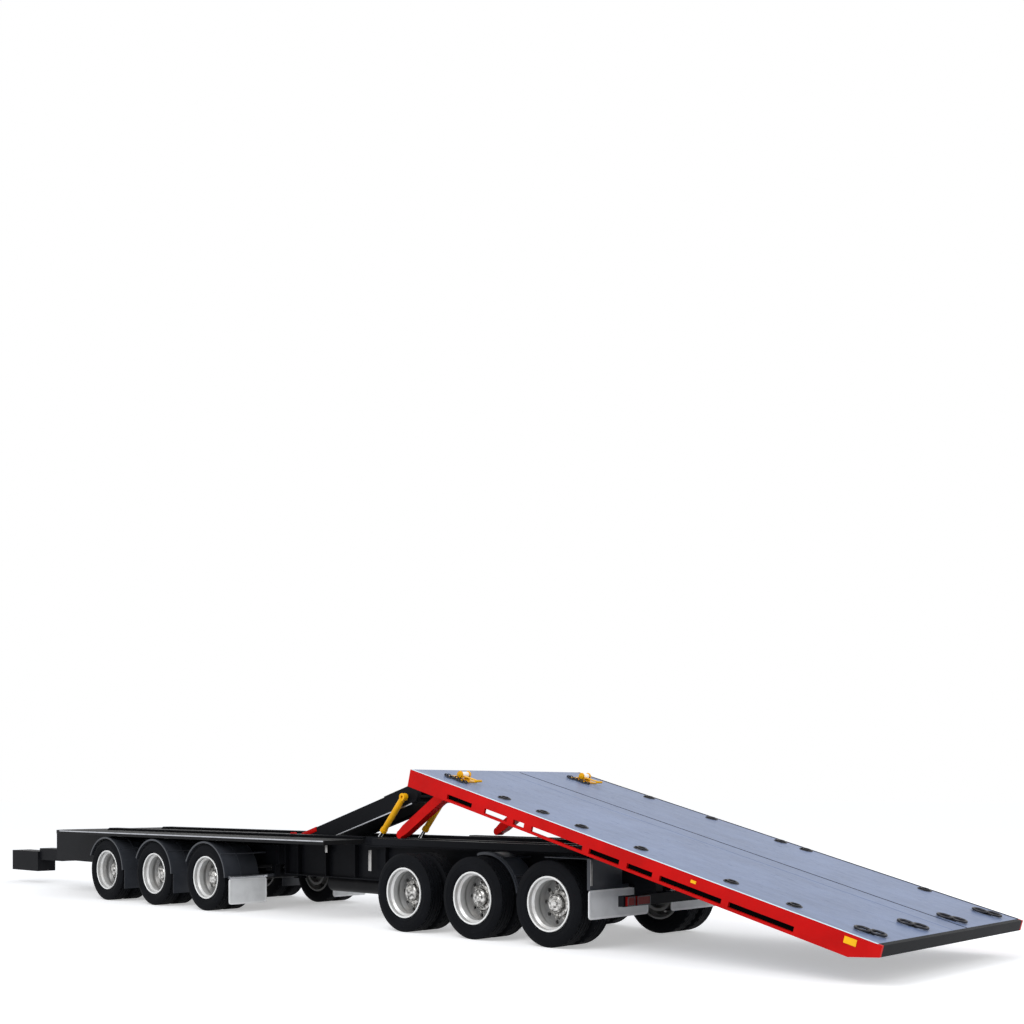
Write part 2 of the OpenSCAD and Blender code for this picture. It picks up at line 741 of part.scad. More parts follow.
module side_rails() color(red) on_deck() both_sides() {
    slot_top = slot_h + 28 - deck_depth;
    difference() {
        side_plate([deck_w / 2 - rail_t, deck_w / 2]) polygon([[0, 0], [0, -deck_depth], [-tail_start, -deck_depth],
            [-deck_len, -tail_h], [-deck_len, 0]]);
        for (slot = SLOTS) {
            deck_block([slot[0], slot[0] + slot[1]], [deck_w / 2 - rail_t - 1, deck_w / 2 + 1],
                [slot_top - slot_h, slot_top]);
        }
    }
}

// Lip across the tail and a sloping plate below it, notched where the cradle's guides pass
module tail_lip() color(black) on_deck() {
    inner = deck_w / 2 - rail_t;
    reach = shoe_half + guide_room;
    side_plate([-inner, inner]) polygon([[lip_len - deck_len, 0], [-deck_len, 0], [-deck_len, -tail_h],
        [lip_len - deck_len, -tail_h - 17]]);
    difference() {
        side_plate([-inner, inner]) polygon([[-deck_len + 2, -tail_h], [-tail_start, -deck_depth],
            [-tail_start, 10 - deck_depth], [-deck_len + 2, 10 - tail_h]]);
        both_sides() block([-deck_len + 110, 1 - tail_start], [runner_y - reach, runner_y + reach],
            [-deck_depth - 1, guide_h + guide_room - deck_depth]);
    }
}

// Amber lamps on the side rails: distance ahead of the rear edge, length and height
AMBER = [[2000, 60, 28], [350, 120, 60]];
lamp_t = 6;

module deck_lamps() color([0.9, 0.45, 0.02]) on_deck() both_sides() for (lamp = AMBER) {
    s = deck_len - lamp[0];
    deck_block([s, s + lamp[1]], [deck_w / 2, deck_w / 2 + lamp_t], [-60 - lamp[2] / 2, -60 + lamp[2] / 2]);
}

// Prop legs: hinged under the deck's front, with rollers over the side runways

module prop_legs() color(red) on_deck() translate([-leg_pin_s, 0, leg_pin_n])
        rotate([0, leg_angle + bed_tilt, 0]) {
    both_sides() {
        side_plate(runway_y) {
            circle(d = leg_w);
            translate([0, -leg_w / 2]) square([leg_len - 120, leg_w]);
            polygon([[leg_len - 121, leg_w / 2], [leg_len, roller_d / 2 - 8], [leg_len, 8 - roller_d / 2],
                [leg_len - 121, -leg_w / 2]]);
        }
        round_bar(leg_len, 0, roller_d, [runway_y[0] + 6, runway_y[1] - 6]);
        round_bar(0, 0, leg_pin_d, [runway_y[0] - 40, runway_y[1] + 40]);
    }
    round_bar(250, 0, 80, [-runway_y[0] - 10, runway_y[0] + 10]);
}

// Lift frame: two side beams on a hinge pin, with a cross shaft that the rams push

lift_top = 55;
lift_bottom = -165;
lift_beam_y = [230, 300];
lift_flange_out = 8;
lift_plate_t = 12;
lift_knee = 500;
lift_cap_len = 520;

module lift_frame() translate([lift_x, 0, lift_z]) rotate([0, lift_angle, 0]) {
    mid = (lift_top + lift_bottom) / 2;
    depth = lift_top - lift_bottom;
    lift_shaft_y = ram_y - ram_eye_half - ram_gap - 6;
    belly = [-lift_len, -lift_knee];
    color(black) {
        both_sides() side_plate(lift_beam_y) {
            circle(d = 2 * lift_top);
            polygon([[0, lift_top], [0, -lift_top], [-lift_knee, lift_bottom], [-lift_len, lift_bottom],
                [-lift_len, lift_top]]);
            translate([-lift_len, mid]) circle(d = depth);
        }
        round_bar(0, 0, lift_pin_d, [-lift_pin_half, lift_pin_half]);
        round_bar(-lift_shaft_l, -lift_shaft_drop, lift_shaft_d, [-lift_shaft_y, lift_shaft_y]);
        both_sides() block(belly, [lift_beam_y[0] - lift_flange_out, lift_beam_y[1] + lift_flange_out],
            [lift_bottom - lift_plate_t, lift_bottom + 1]);
        block(belly, [-lift_beam_y[0] - 1, lift_beam_y[0] + 1], [lift_bottom, lift_bottom + lift_plate_t]);
        for (x = [-700, -1500]) round_bar(x, mid, 90, [-lift_beam_y[0] - 1, lift_beam_y[0] + 1]);
        block([-lift_len, lift_cap_len - lift_len], [-lift_beam_y[1], lift_beam_y[1]],
            [lift_top - 1, lift_top + lift_plate_t]);
    }
}

// Rams: a rod on a pin at the beam, and a barrel whose eye sits beside the lift frame's shaft

module ram_frame() translate([ram_x, 0, ram_z]) rotate([0, ram_angle, 0]) children();

module along_ram(x) translate([x, ram_y, 0]) rotate([0, -90, 0]) children();

module ram_barrels() color(yellow) ram_frame() both_sides() difference() {
    union() {
        along_ram(barrel_len - ram_reach) cylinder(d = barrel_d, h = barrel_len);
        along_ram(barrel_len - ram_reach) cylinder(d = barrel_d + 14, h = 45);
        round_bar(-ram_reach, 0, ram_eye_d, [ram_y - ram_eye_half, ram_y + ram_eye_half]);
    }
    along_ram(barrel_len - ram_reach + 1) cylinder(d = rod_d + 2 * pin_gap, h = barrel_len - barrel_end + 1);
    round_bar(-ram_reach, 0, ram_pin_d, [0, half_w]);
}

module ram_rods() color(silver) ram_frame() both_sides() difference() {
    union() {
        along_ram(0) cylinder(d = rod_d, h = rod_len);
        round_bar(0, 0, ram_eye_d - 10, [ram_y - ram_eye_half, ram_y + ram_eye_half]);
    }
    round_bar(0, 0, ram_pin_d + 2 * pin_gap, [0, half_w]);
}

standing() main_beams();
standing() crossmembers();
standing() outriggers();
standing() platform();
standing() side_runways();
standing() slide_rails();
standing() turntable_upper();
standing() lift_hinge_lugs();
standing() rear_bolster();
standing() rear_lamps();
standing() rear_suspension();
standing() rear_air_bags();
standing() rear_axles();
standing() rear_guards();
standing() rear_mudflaps();
standing() air_tanks();
standing() dolly_frame();
standing() drawbar();
standing() tow_eye();
standing() turntable_lower();
standing() dolly_suspension();
standing() dolly_air_bags();
standing() dolly_axles();
standing() dolly_guards();
standing() dolly_mudflaps();
standing() cradle();
standing() deck_frame();
standing() deck_plates();
standing() side_rails();
standing() tail_lip();
standing() deck_lamps();
standing() prop_legs();
standing() lift_frame();
standing() ram_barrels();
standing() ram_rods();
for (i = [0 : len(WHEELS) - 1], side = SIDES) {
    standing() at_wheel(i, side) twin_tyres();
    standing() at_wheel(i, side) twin_rims();
}
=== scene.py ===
"""Looks of the tilt and slide trailer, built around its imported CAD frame."""

from __future__ import annotations

import json
import logging
import math
from collections.abc import Callable, Sequence
from dataclasses import dataclass, field
from enum import Enum
from typing import Any

import bmesh
import bpy
from mathutils import Matrix, Vector

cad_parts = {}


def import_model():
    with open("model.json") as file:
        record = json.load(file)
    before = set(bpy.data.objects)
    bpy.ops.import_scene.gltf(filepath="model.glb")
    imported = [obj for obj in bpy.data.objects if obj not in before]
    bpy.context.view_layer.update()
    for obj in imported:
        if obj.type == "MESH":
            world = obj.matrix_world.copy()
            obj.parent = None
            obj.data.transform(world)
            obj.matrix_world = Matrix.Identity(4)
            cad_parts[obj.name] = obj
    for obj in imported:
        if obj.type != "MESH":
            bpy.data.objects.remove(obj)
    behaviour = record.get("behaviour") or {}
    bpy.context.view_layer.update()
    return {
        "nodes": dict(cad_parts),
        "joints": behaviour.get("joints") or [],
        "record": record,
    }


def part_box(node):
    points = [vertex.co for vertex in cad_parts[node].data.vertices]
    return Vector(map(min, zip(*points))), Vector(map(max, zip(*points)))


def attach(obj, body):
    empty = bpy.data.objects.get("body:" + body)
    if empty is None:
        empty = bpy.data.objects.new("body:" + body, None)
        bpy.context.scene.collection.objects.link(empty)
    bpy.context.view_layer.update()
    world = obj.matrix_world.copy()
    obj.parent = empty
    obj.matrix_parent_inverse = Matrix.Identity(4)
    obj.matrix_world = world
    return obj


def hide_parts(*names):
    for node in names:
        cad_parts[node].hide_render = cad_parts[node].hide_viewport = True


LOG = logging.getLogger("trailer")
SIGNS = (1.0, -1.0)
Colour = tuple[float, float, float]
Point = tuple[float, float, float]
Turned = tuple[float, float, float, int, float | None, float]
Block = tuple[Point, Point, float]
Press = tuple[float, float, float]
FaceTest = Callable[[Vector, Vector], bool]


class Side(Enum):
    """Left or right side of the trailer, with the sign of its Y."""

    LEFT = ("left", 1.0)
    RIGHT = ("right", -1.0)

    @property
    def word(self) -> str:
        """Word used in node and body names."""
        return self.value[0]

    @property
    def sign(self) -> float:
        """Sign of Y on this side."""
        return self.value[1]


class Wire:
    """A shader socket that takes part in plain expressions."""

    def __init__(self, sheet: "Sheet", socket: bpy.types.NodeSocket) -> None:
        """Keeps the node sheet and the socket.

        Args:
            sheet: Node sheet that new Math nodes are added to.
            socket: Output socket that this wire carries.
        """
        self.sheet = sheet
        self.socket = socket

    def math(self, operation: str, *values: "Wire | float") -> "Wire":
        """Adds one Math node.

        Args:
            operation: Name of the node's operation.
            values: Its inputs in order.

        Returns:
            The node's result.
        """
        return self.sheet.node("ShaderNodeMath", {"operation": operation}, dict(enumerate(values)))

    def __add__(self, other: "Wire | float") -> "Wire":
        """Sum."""
        return self.math("ADD", self, other)

    def __radd__(self, other: float) -> "Wire":
        """Sum with a number first."""
        return self.math("ADD", other, self)

    def __sub__(self, other: "Wire | float") -> "Wire":
        """Difference."""
        return self.math("SUBTRACT", self, other)

    def __rsub__(self, other: float) -> "Wire":
        """Difference from a number."""
        return self.math("SUBTRACT", other, self)

    def __mul__(self, other: "Wire | float") -> "Wire":
        """Product."""
        return self.math("MULTIPLY", self, other)

    def __rmul__(self, other: float) -> "Wire":
        """Product with a number first."""
        return self.math("MULTIPLY", other, self)

    def clamp(self) -> "Wire":
        """Limits the value to 0 to 1."""
        return self.sheet.node("ShaderNodeClamp", {}, {"Value": self})

    def step(self, low: float, high: float) -> "Wire":
        """Smooth step from 0 at low to 1 at high.

        Args:
            low: Value where the result starts to rise.
            high: Value where the result reaches 1.

        Returns:
            The stepped value.
        """
        settings = {"interpolation_type": "SMOOTHSTEP"}
        inputs = dict(enumerate((self, low, high, 0.0, 1.0)))
        return self.sheet.node("ShaderNodeMapRange", settings, inputs)


class Sheet:
    """Node sheet of one material, with a Principled shader at its end."""

    MIX_FACTOR, MIX_FIRST, MIX_SECOND, MIX_RESULT = 0, 6, 7, 2

    def __init__(self, name: str) -> None:
        """Starts a material.

        Args:
            name: Name of the material.
        """
        self.material = bpy.data.materials.new(name)
        self.material.use_nodes = True
        self.tree = self.material.node_tree
        self.shader = self.tree.nodes["Principled BSDF"]
        self.place = self.node("ShaderNodeTexCoord", {}, {}, "Object")

    def seen(self) -> Wire:
        """Tells rays that show the backdrop from rays that light the trailer.

        Returns:
            1 for what is seen straight or in metal and glass, and 0 for light.
        """
        names = ("Is Camera Ray", "Is Glossy Ray", "Is Transmission Ray")
        camera, glossy, through = (self.node("ShaderNodeLightPath", {}, {}, name) for name in names)
        return (camera + glossy + through).clamp()

    def node(self, kind: str, settings: dict[str, Any], inputs: dict[int | str, Any],
             output: int | str = 0) -> Wire:
        """Adds a node, sets it and links it.

        Args:
            kind: Type name of the node.
            settings: Attributes set before the sockets.
            inputs: Values or wires by socket name or index.
            output: Socket that is returned.

        Returns:
            The chosen output.
        """
        node = self.tree.nodes.new(kind)
        for key, value in settings.items():
            setattr(node, key, value)
        for key, value in inputs.items():
            if isinstance(value, Wire):
                self.tree.links.new(value.socket, node.inputs[key])
            else:
                node.inputs[key].default_value = value
        return Wire(self, node.outputs[output])

    def mapped(self, scale: Point, turn: Point) -> Wire:
        """Object coordinates, turned and scaled.

        Args:
            scale: Scale along each axis.
            turn: Turn about each axis in radians.

        Returns:
            The mapped vector.
        """
        return self.node("ShaderNodeMapping", {}, {"Vector": self.place, "Scale": scale, "Rotation": turn})

    def noise(self, scale: float, detail: float = 4.0, vector: Wire | None = None,
              rough: float = 0.55) -> Wire:
        """Noise value over the surface.

        Args:
            scale: Waves in one metre.
            detail: Octaves.
            vector: Where it is read, the object's own place when left out.
            rough: Strength of the finer octaves.

        Returns:
            The noise value, about 0.5 in the mean.
        """
        inputs = {"Vector": vector or self.place, "Scale": scale, "Detail": detail, "Roughness": rough}
        return self.node("ShaderNodeTexNoise", {}, inputs, "Fac")

    def along(self, axis: str) -> Wire:
        """One object coordinate.

        Args:
            axis: X, Y or Z.

        Returns:
            The coordinate in metres.
        """
        return self.node("ShaderNodeSeparateXYZ", {}, {0: self.place}, axis)

    def mix(self, factor: "Wire | float", first: Any, second: Any) -> Wire:
        """Mixes two colours.

        Args:
            factor: Share of the second colour.
            first: Colour or wire.
            second: Colour or wire.

        Returns:
            The mixed colour.
        """
        def full(colour: Any) -> Any:
            """Adds alpha to a plain colour."""
            return colour if isinstance(colour, Wire) else (*colour, 1.0)

        inputs = {self.MIX_FACTOR: factor, self.MIX_FIRST: full(first), self.MIX_SECOND: full(second)}
        return self.node("ShaderNodeMix", {"data_type": "RGBA"}, inputs, self.MIX_RESULT)

    def bump(self, height: Wire, distance: float) -> None:
        """Feeds a bump of full strength to the shader's normal.

        Args:
            height: Height value.
            distance: Metres that a height of 1 stands for.
        """
        inputs = {"Height": height, "Distance": distance, "Strength": 1.0}
        self.feed("Normal", self.node("ShaderNodeBump", {}, inputs, "Normal"))

    def feed(self, socket: str, value: Any) -> None:
        """Sets or links one socket of the shader.

        Args:
            socket: Name of the socket.
            value: Wire, number or colour.
        """
        target = self.shader.inputs[socket]
        if isinstance(value, Wire):
            self.tree.links.new(value.socket, target)
        elif isinstance(value, tuple):
            target.default_value = (*value, 1.0)
        else:
            target.default_value = value


class Surround(Sheet):
    """Node sheet of the world around the studio."""

    def __init__(self, name: str) -> None:
        """Starts a world.

        Args:
            name: Name of the world.
        """
        self.world = bpy.data.worlds.new(name)
        self.world.use_nodes = True
        self.tree = self.world.node_tree
        self.shader = self.tree.nodes["Background"]


@dataclass(frozen=True)
class SteelPaint:
    """Painted steel with an uneven gloss and road dust towards the ground."""

    name: str
    colour: Colour
    roughness: float = 0.35
    coat: float = 0.3
    dust: float = 0.25
    dust_top: float = 1.1
    gloss: float = 0.12
    peel: float = 0.00025
    dust_foot: float = 0.15
    dust_colour: Colour = (0.16, 0.145, 0.125)
    speckled: float = 0.35
    shaded: float = 0.78
    coat_roughness: float = 0.12

    def make(self) -> bpy.types.Material:
        """Mixes dust, specks and darker patches into the paint.

        Returns:
            The material.
        """
        sheet = Sheet(self.name)
        patches = sheet.noise(2.3, 5.0)
        specks = sheet.noise(55.0, 3.0)
        low = 1 - sheet.along("Z").step(self.dust_foot, self.dust_top)
        settled = low * patches.step(0.42, 0.75) * self.dust
        grime = (settled + specks.step(0.66, 0.8) * (self.speckled * self.dust)).clamp()
        shade = tuple(self.shaded * value for value in self.colour)
        body = sheet.mix(patches.step(0.35, 0.7), shade, self.colour)
        sheet.feed("Base Color", sheet.mix(grime, body, self.dust_colour))
        sheet.feed("Roughness", self.roughness + (patches - 0.5) * 0.18 + grime * 0.4)
        sheet.feed("Specular IOR Level", self.gloss)
        sheet.feed("Coat Weight", self.coat)
        sheet.feed("Coat Roughness", self.coat_roughness)
        sheet.bump(sheet.noise(420.0, 2.0) + patches * 2.0, self.peel)
        return sheet.material


@dataclass(frozen=True)
class DeckPaint:
    """Satin deck coat with long faint streaks, pale clouds and scuffs along the deck."""

    name: str
    colour: Colour
    tilt: float
    gloss: float = 0.2
    metal: float = 0.2
    roughness: float = 0.36
    paled: float = 1.22
    darkened: float = 0.84
    scuffed: float = 0.22
    scuff_colour: Colour = (0.09, 0.095, 0.11)
    grain: float = 0.0006

    def make(self) -> bpy.types.Material:
        """Lays streaks, clouds and scuffs along the sloping deck.

        Returns:
            The material.
        """
        sheet = Sheet(self.name)
        turn = (0.0, self.tilt, 0.0)
        streak = sheet.noise(1.0, 6.0, sheet.mapped((0.35, 9.0, 9.0), turn), 0.6)
        fine = sheet.noise(1.0, 4.0, sheet.mapped((1.6, 70.0, 70.0), turn), 0.6)
        cloud = sheet.noise(0.7, 5.0)
        scuff = sheet.noise(1.0, 3.0, sheet.mapped((3.0, 26.0, 26.0), turn)).step(0.63, 0.74)
        pale = tuple(self.paled * value for value in self.colour)
        dark = tuple(self.darkened * value for value in self.colour)
        body = sheet.mix(streak.step(0.3, 0.72), dark, self.colour)
        body = sheet.mix(cloud.step(0.4, 0.75) * 0.55, body, pale)
        sheet.feed("Base Color", sheet.mix(scuff * self.scuffed, body, self.scuff_colour))
        sheet.feed("Roughness", self.roughness + (fine - 0.5) * 0.22 + scuff * 0.15)
        sheet.feed("Metallic", self.metal)
        sheet.feed("Specular IOR Level", self.gloss)
        sheet.bump(fine + streak, self.grain)
        return sheet.material


@dataclass(frozen=True)
class TyreRubber:
    """Tyre rubber: matt, greyed by dust, with fine moulding texture."""

    name: str
    colour: Colour = (0.0048, 0.0052, 0.0064)
    roughness: float = 0.68
    gloss: float = 0.05
    greyed: float = 2.1
    grain: float = 0.0006

    def make(self) -> bpy.types.Material:
        """Greys the rubber in clouds and gives it its grain.

        Returns:
            The material.
        """
        sheet = Sheet(self.name)
        cloud = sheet.noise(3.0, 5.0)
        grain = sheet.noise(260.0, 3.0)
        pale = tuple(self.greyed * value for value in self.colour)
        sheet.feed("Base Color", sheet.mix(cloud.step(0.4, 0.8) * 0.6 + grain * 0.15, self.colour, pale))
        sheet.feed("Roughness", self.roughness + (cloud - 0.5) * 0.25)
        sheet.feed("Specular IOR Level", self.gloss)
        sheet.bump(grain, self.grain)
        return sheet.material


@dataclass(frozen=True)
class BareMetal:
    """Bare or polished metal, from chrome to worn steel."""

    name: str
    colour: Colour
    roughness: float
    stain: float = 0.2
    patch: float = 9.0
    dulled: float = 0.45
    onset: float = 0.45
    spread: float = 0.35
    scratch: float = 0.00015

    def make(self) -> bpy.types.Material:
        """Stains the metal in patches, which on the hub are painted reflection, and scratches it finely.

        Returns:
            The material.
        """
        sheet = Sheet(self.name)
        cloud = sheet.noise(self.patch, 5.0)
        fine = sheet.noise(240.0, 2.0)
        # Dark patches: stains on most metals; on the hub, at strong contrast, they are painted reflection of
        # dark surroundings in the chrome.
        dark_patch = tuple(self.dulled * value for value in self.colour)
        stain_and_reflection_mask = cloud.step(self.onset, self.onset + self.spread) * self.stain
        worn = cloud.step(0.5, 0.8) * (0.5 * self.stain)
        sheet.feed("Base Color", sheet.mix(stain_and_reflection_mask, self.colour, dark_patch))
        sheet.feed("Metallic", 1.0)
        sheet.feed("Roughness", self.roughness + (fine - 0.5) * 0.1 + worn)
        sheet.bump(fine, self.scratch)
        return sheet.material


@dataclass(frozen=True)
class RimPaint:
    """Pale silver wheel paint, dusty in patches, with painted shade that darkens it inside the dish."""

    name: str
    colour: Colour
    floor_y: float = 1.0
    mouth_y: float = 1.15
    shade: float = 0.75
    dish_colour: Colour = (0.12, 0.12, 0.12)
    dust_colour: Colour = (0.34, 0.31, 0.27)
    metal: float = 0.3
    roughness: float = 0.34
    grain: float = 0.0003

    def make(self) -> bpy.types.Material:
        """Darkens the paint with the depth of the dish as painted shade, and dusts it.

        Returns:
            The material.
        """
        sheet = Sheet(self.name)
        cloud = sheet.noise(7.0, 5.0)
        specks = sheet.noise(90.0, 3.0)
        grime = (cloud.step(0.42, 0.75) * 0.35 + specks.step(0.6, 0.8) * 0.2).clamp()
        side = sheet.along("Y")
        # Painted shade: the paint turns towards a dark grey the further inboard it lies in the dish.
        depth = 1 - (side * side).step(self.floor_y ** 2, self.mouth_y ** 2)
        dish = sheet.mix(depth * self.shade, self.colour, self.dish_colour)
        sheet.feed("Base Color", sheet.mix(grime, dish, self.dust_colour))
        sheet.feed("Metallic", self.metal)
        sheet.feed("Roughness", self.roughness + grime * 0.3)
        sheet.bump(specks, self.grain)
        return sheet.material


@dataclass(frozen=True)
class Plastic:
    """Moulded plastic, rubber sheet or plain enamel with a fine grain."""

    name: str
    colour: Colour
    roughness: float = 0.5
    coat: float = 0.0
    gloss: float = 0.5
    dulled: float = 0.8
    grain: float = 0.0003

    def make(self) -> bpy.types.Material:
        """Dulls the colour in clouds and gives it its grain.

        Returns:
            The material.
        """
        sheet = Sheet(self.name)
        cloud = sheet.noise(5.0, 4.0)
        grain = sheet.noise(300.0, 2.0)
        dark_patch = tuple(self.dulled * value for value in self.colour)
        sheet.feed("Base Color", sheet.mix(cloud.step(0.4, 0.75) * 0.7, self.colour, dark_patch))
        sheet.feed("Roughness", self.roughness + (cloud - 0.5) * 0.15)
        sheet.feed("Specular IOR Level", self.gloss)
        sheet.feed("Coat Weight", self.coat)
        sheet.bump(grain, self.grain)
        return sheet.material


class Paints:
    """All finishes of the trailer, by the record's slot names and by plain names."""

    def __init__(self, tilt: float) -> None:
        """Builds every finish.

        Args:
            tilt: Slope of the deck in radians.
        """
        finishes = [
            SteelPaint("chassis_black", (0.0078, 0.0084, 0.0105), 0.46, 0.015, 0.03, gloss=0.04),
            # guard_black: base colour raised above black as painted sheen, standing for the highlights on
            # the guards' tops.
            SteelPaint("guard_black", (0.042, 0.046, 0.055), 0.34, 0.08, 0.06, gloss=0.3),
            SteelPaint("tank_black", (0.0085, 0.009, 0.0105), 0.4, 0.04, 0.08, gloss=0.06),
            SteelPaint("platform_grey", (0.007, 0.0073, 0.0082), 0.6, 0.0, 0.08),
            SteelPaint("hinge_red", (0.55, 0.004, 0.003), 0.42, 0.02, 0.06, 0.8, 0.06),
            SteelPaint("rail_red", (0.56, 0.003, 0.0025), 0.4, 0.02, 0.03, 0.5, 0.08),
            DeckPaint("deck_blue_grey", (0.168, 0.218, 0.352), tilt),
            # lamp_red: the lens red is darkened as painted shade, for lamps that sit in the shadow under the
            # deck.
            Plastic("lamp_red", (0.16, 0.003, 0.0025), 0.3, 0.03, 0.1),
            Plastic("lamp_amber", (0.95, 0.5, 0.004), 0.3, 0.1, 0.15),
            TyreRubber("bag_rubber", (0.018, 0.018, 0.019), 0.6),
            Plastic("flap_grey", (0.8, 0.81, 0.81), 0.45),
            Plastic("flap_border", (0.93, 0.93, 0.93), 0.4),
            BareMetal("eye_steel", (0.42, 0.41, 0.4), 0.4, 0.6),
            SteelPaint("ram_yellow", (0.93, 0.46, 0.004), 0.36, 0.08, 0.1),
            BareMetal("rod_chrome", (0.82, 0.83, 0.84), 0.1, 0.1),
            TyreRubber("tyre"),
            RimPaint("rim_silver", (0.66, 0.66, 0.65)),
            # bright_edge: pale metal; round the platform it is used as a painted highlight.
            BareMetal("bright_edge", (0.5, 0.51, 0.54), 0.28, 0.45),
            Plastic("rim_edge", (0.93, 0.93, 0.91), 0.28, 0.2),
            # hub_metal: its strong near-black patches are painted reflection of dark surroundings in the
            # chrome.
            BareMetal("hub_metal", (0.62, 0.61, 0.59), 0.16, 0.95, 26.0, 0.06, 0.34),
            BareMetal("ring_iron", (0.05, 0.05, 0.055), 0.4, 0.5),
            # edge_pale: pale sky blue, a painted highlight on the near rail's top edge.
            Plastic("edge_pale", (0.62, 0.84, 0.9), 0.4),
            # slot_dark: near black; on the sheets behind the rail slots it is painted shade.
            Plastic("slot_dark", (0.0016, 0.0016, 0.0018), 0.85, 0.0, 0.02),
        ]
        self.by_name = {finish.name: finish.make() for finish in finishes}

    def __getitem__(self, name: str) -> bpy.types.Material:
        """Material of that name."""
        return self.by_name[name]


class Studio:
    """Floor, soft light and the camera at the photograph's angle."""

    PIXELS = 1024.0
    FOCAL_PIXELS = 1300.0
    HORIZON_ROW = 792.8
    SENSOR = 36.0
    YAW = math.radians(43.0)
    EYE_BEHIND = 9.16028
    EYE_SIDE = 11.61
    EYE_HEIGHT = 1.65
    FAR_CLIP = 500.0
    WHITE = (1.0, 1.0, 1.0)
    BLACK = (0.0, 0.0, 0.0)
    SKY = (0.74, 0.76, 0.8)
    FLOOR_SIZE = 400.0
    FLOOR_DROP = 0.001
    FLOOR_PALE = (0.8, 0.8, 0.8)
    FLOOR_GLOW = (0.4, 0.4, 0.4)
    LAMP_AIM = Vector((0.0, 0.0, 0.5))
    LAMPS = (("key", (-6.0, 12.0, 12.0), 10.0, 1300.0), ("fill", (-18.0, -6.0, 9.0), 10.0, 500.0))

    def __init__(self, axle_x: float) -> None:
        """Keeps the place that the camera is counted from.

        Args:
            axle_x: Place of the last axle along the trailer.
        """
        self.eye = (axle_x - self.EYE_BEHIND, self.EYE_SIDE, self.EYE_HEIGHT)

    def build(self) -> None:
        """Builds floor, world, lamps and camera."""
        self.floor()
        self.world()
        self.lamps()
        self.camera()

    def floor(self) -> None:
        """Lays a wide pale floor that keeps the trailer's shadow."""
        bpy.ops.object.select_all(action="DESELECT")
        bpy.ops.mesh.primitive_plane_add(size=self.FLOOR_SIZE, location=(0.0, 0.0, -self.FLOOR_DROP))
        floor = bpy.context.object
        floor.name = "studio_floor"
        sheet = Sheet("studio_floor")
        sheet.feed("Base Color", self.FLOOR_PALE)
        sheet.feed("Roughness", 1.0)
        sheet.feed("Specular IOR Level", 0.0)
        sheet.feed("Emission Color", sheet.mix(sheet.seen(), self.BLACK, self.FLOOR_GLOW))
        sheet.feed("Emission Strength", 1.0)
        floor.data.materials.append(sheet.material)

    def world(self) -> None:
        """Sets an even surround that is seen as white and lights as a pale sky."""
        sheet = Surround("studio_world")
        sheet.feed("Color", sheet.mix(sheet.seen(), self.SKY, self.WHITE))
        sheet.feed("Strength", 1.0)
        bpy.context.scene.world = sheet.world

    def lamps(self) -> None:
        """Hangs two large soft lamps."""
        for name, place, size, power in self.LAMPS:
            data = bpy.data.lights.new(name, "AREA")
            data.size = size
            data.energy = power
            lamp = bpy.data.objects.new(name, data)
            lamp.location = place
            aim = self.LAMP_AIM - Vector(place)
            lamp.rotation_euler = aim.to_track_quat("-Z", "Y").to_euler()
            bpy.context.scene.collection.objects.link(lamp)

    def camera(self) -> None:
        """Sets the camera level, with its view shifted up as in the photograph's frame."""
        data = bpy.data.cameras.new("photo_camera")
        data.sensor_width = self.SENSOR
        data.lens = self.FOCAL_PIXELS * self.SENSOR / self.PIXELS
        data.shift_y = (self.HORIZON_ROW - self.PIXELS / 2) / self.PIXELS
        data.clip_end = self.FAR_CLIP
        camera = bpy.data.objects.new("photo_camera", data)
        camera.location = self.eye
        camera.rotation_euler = (math.pi / 2, 0.0, math.pi + self.YAW)
        bpy.context.scene.collection.objects.link(camera)
        bpy.context.scene.camera = camera


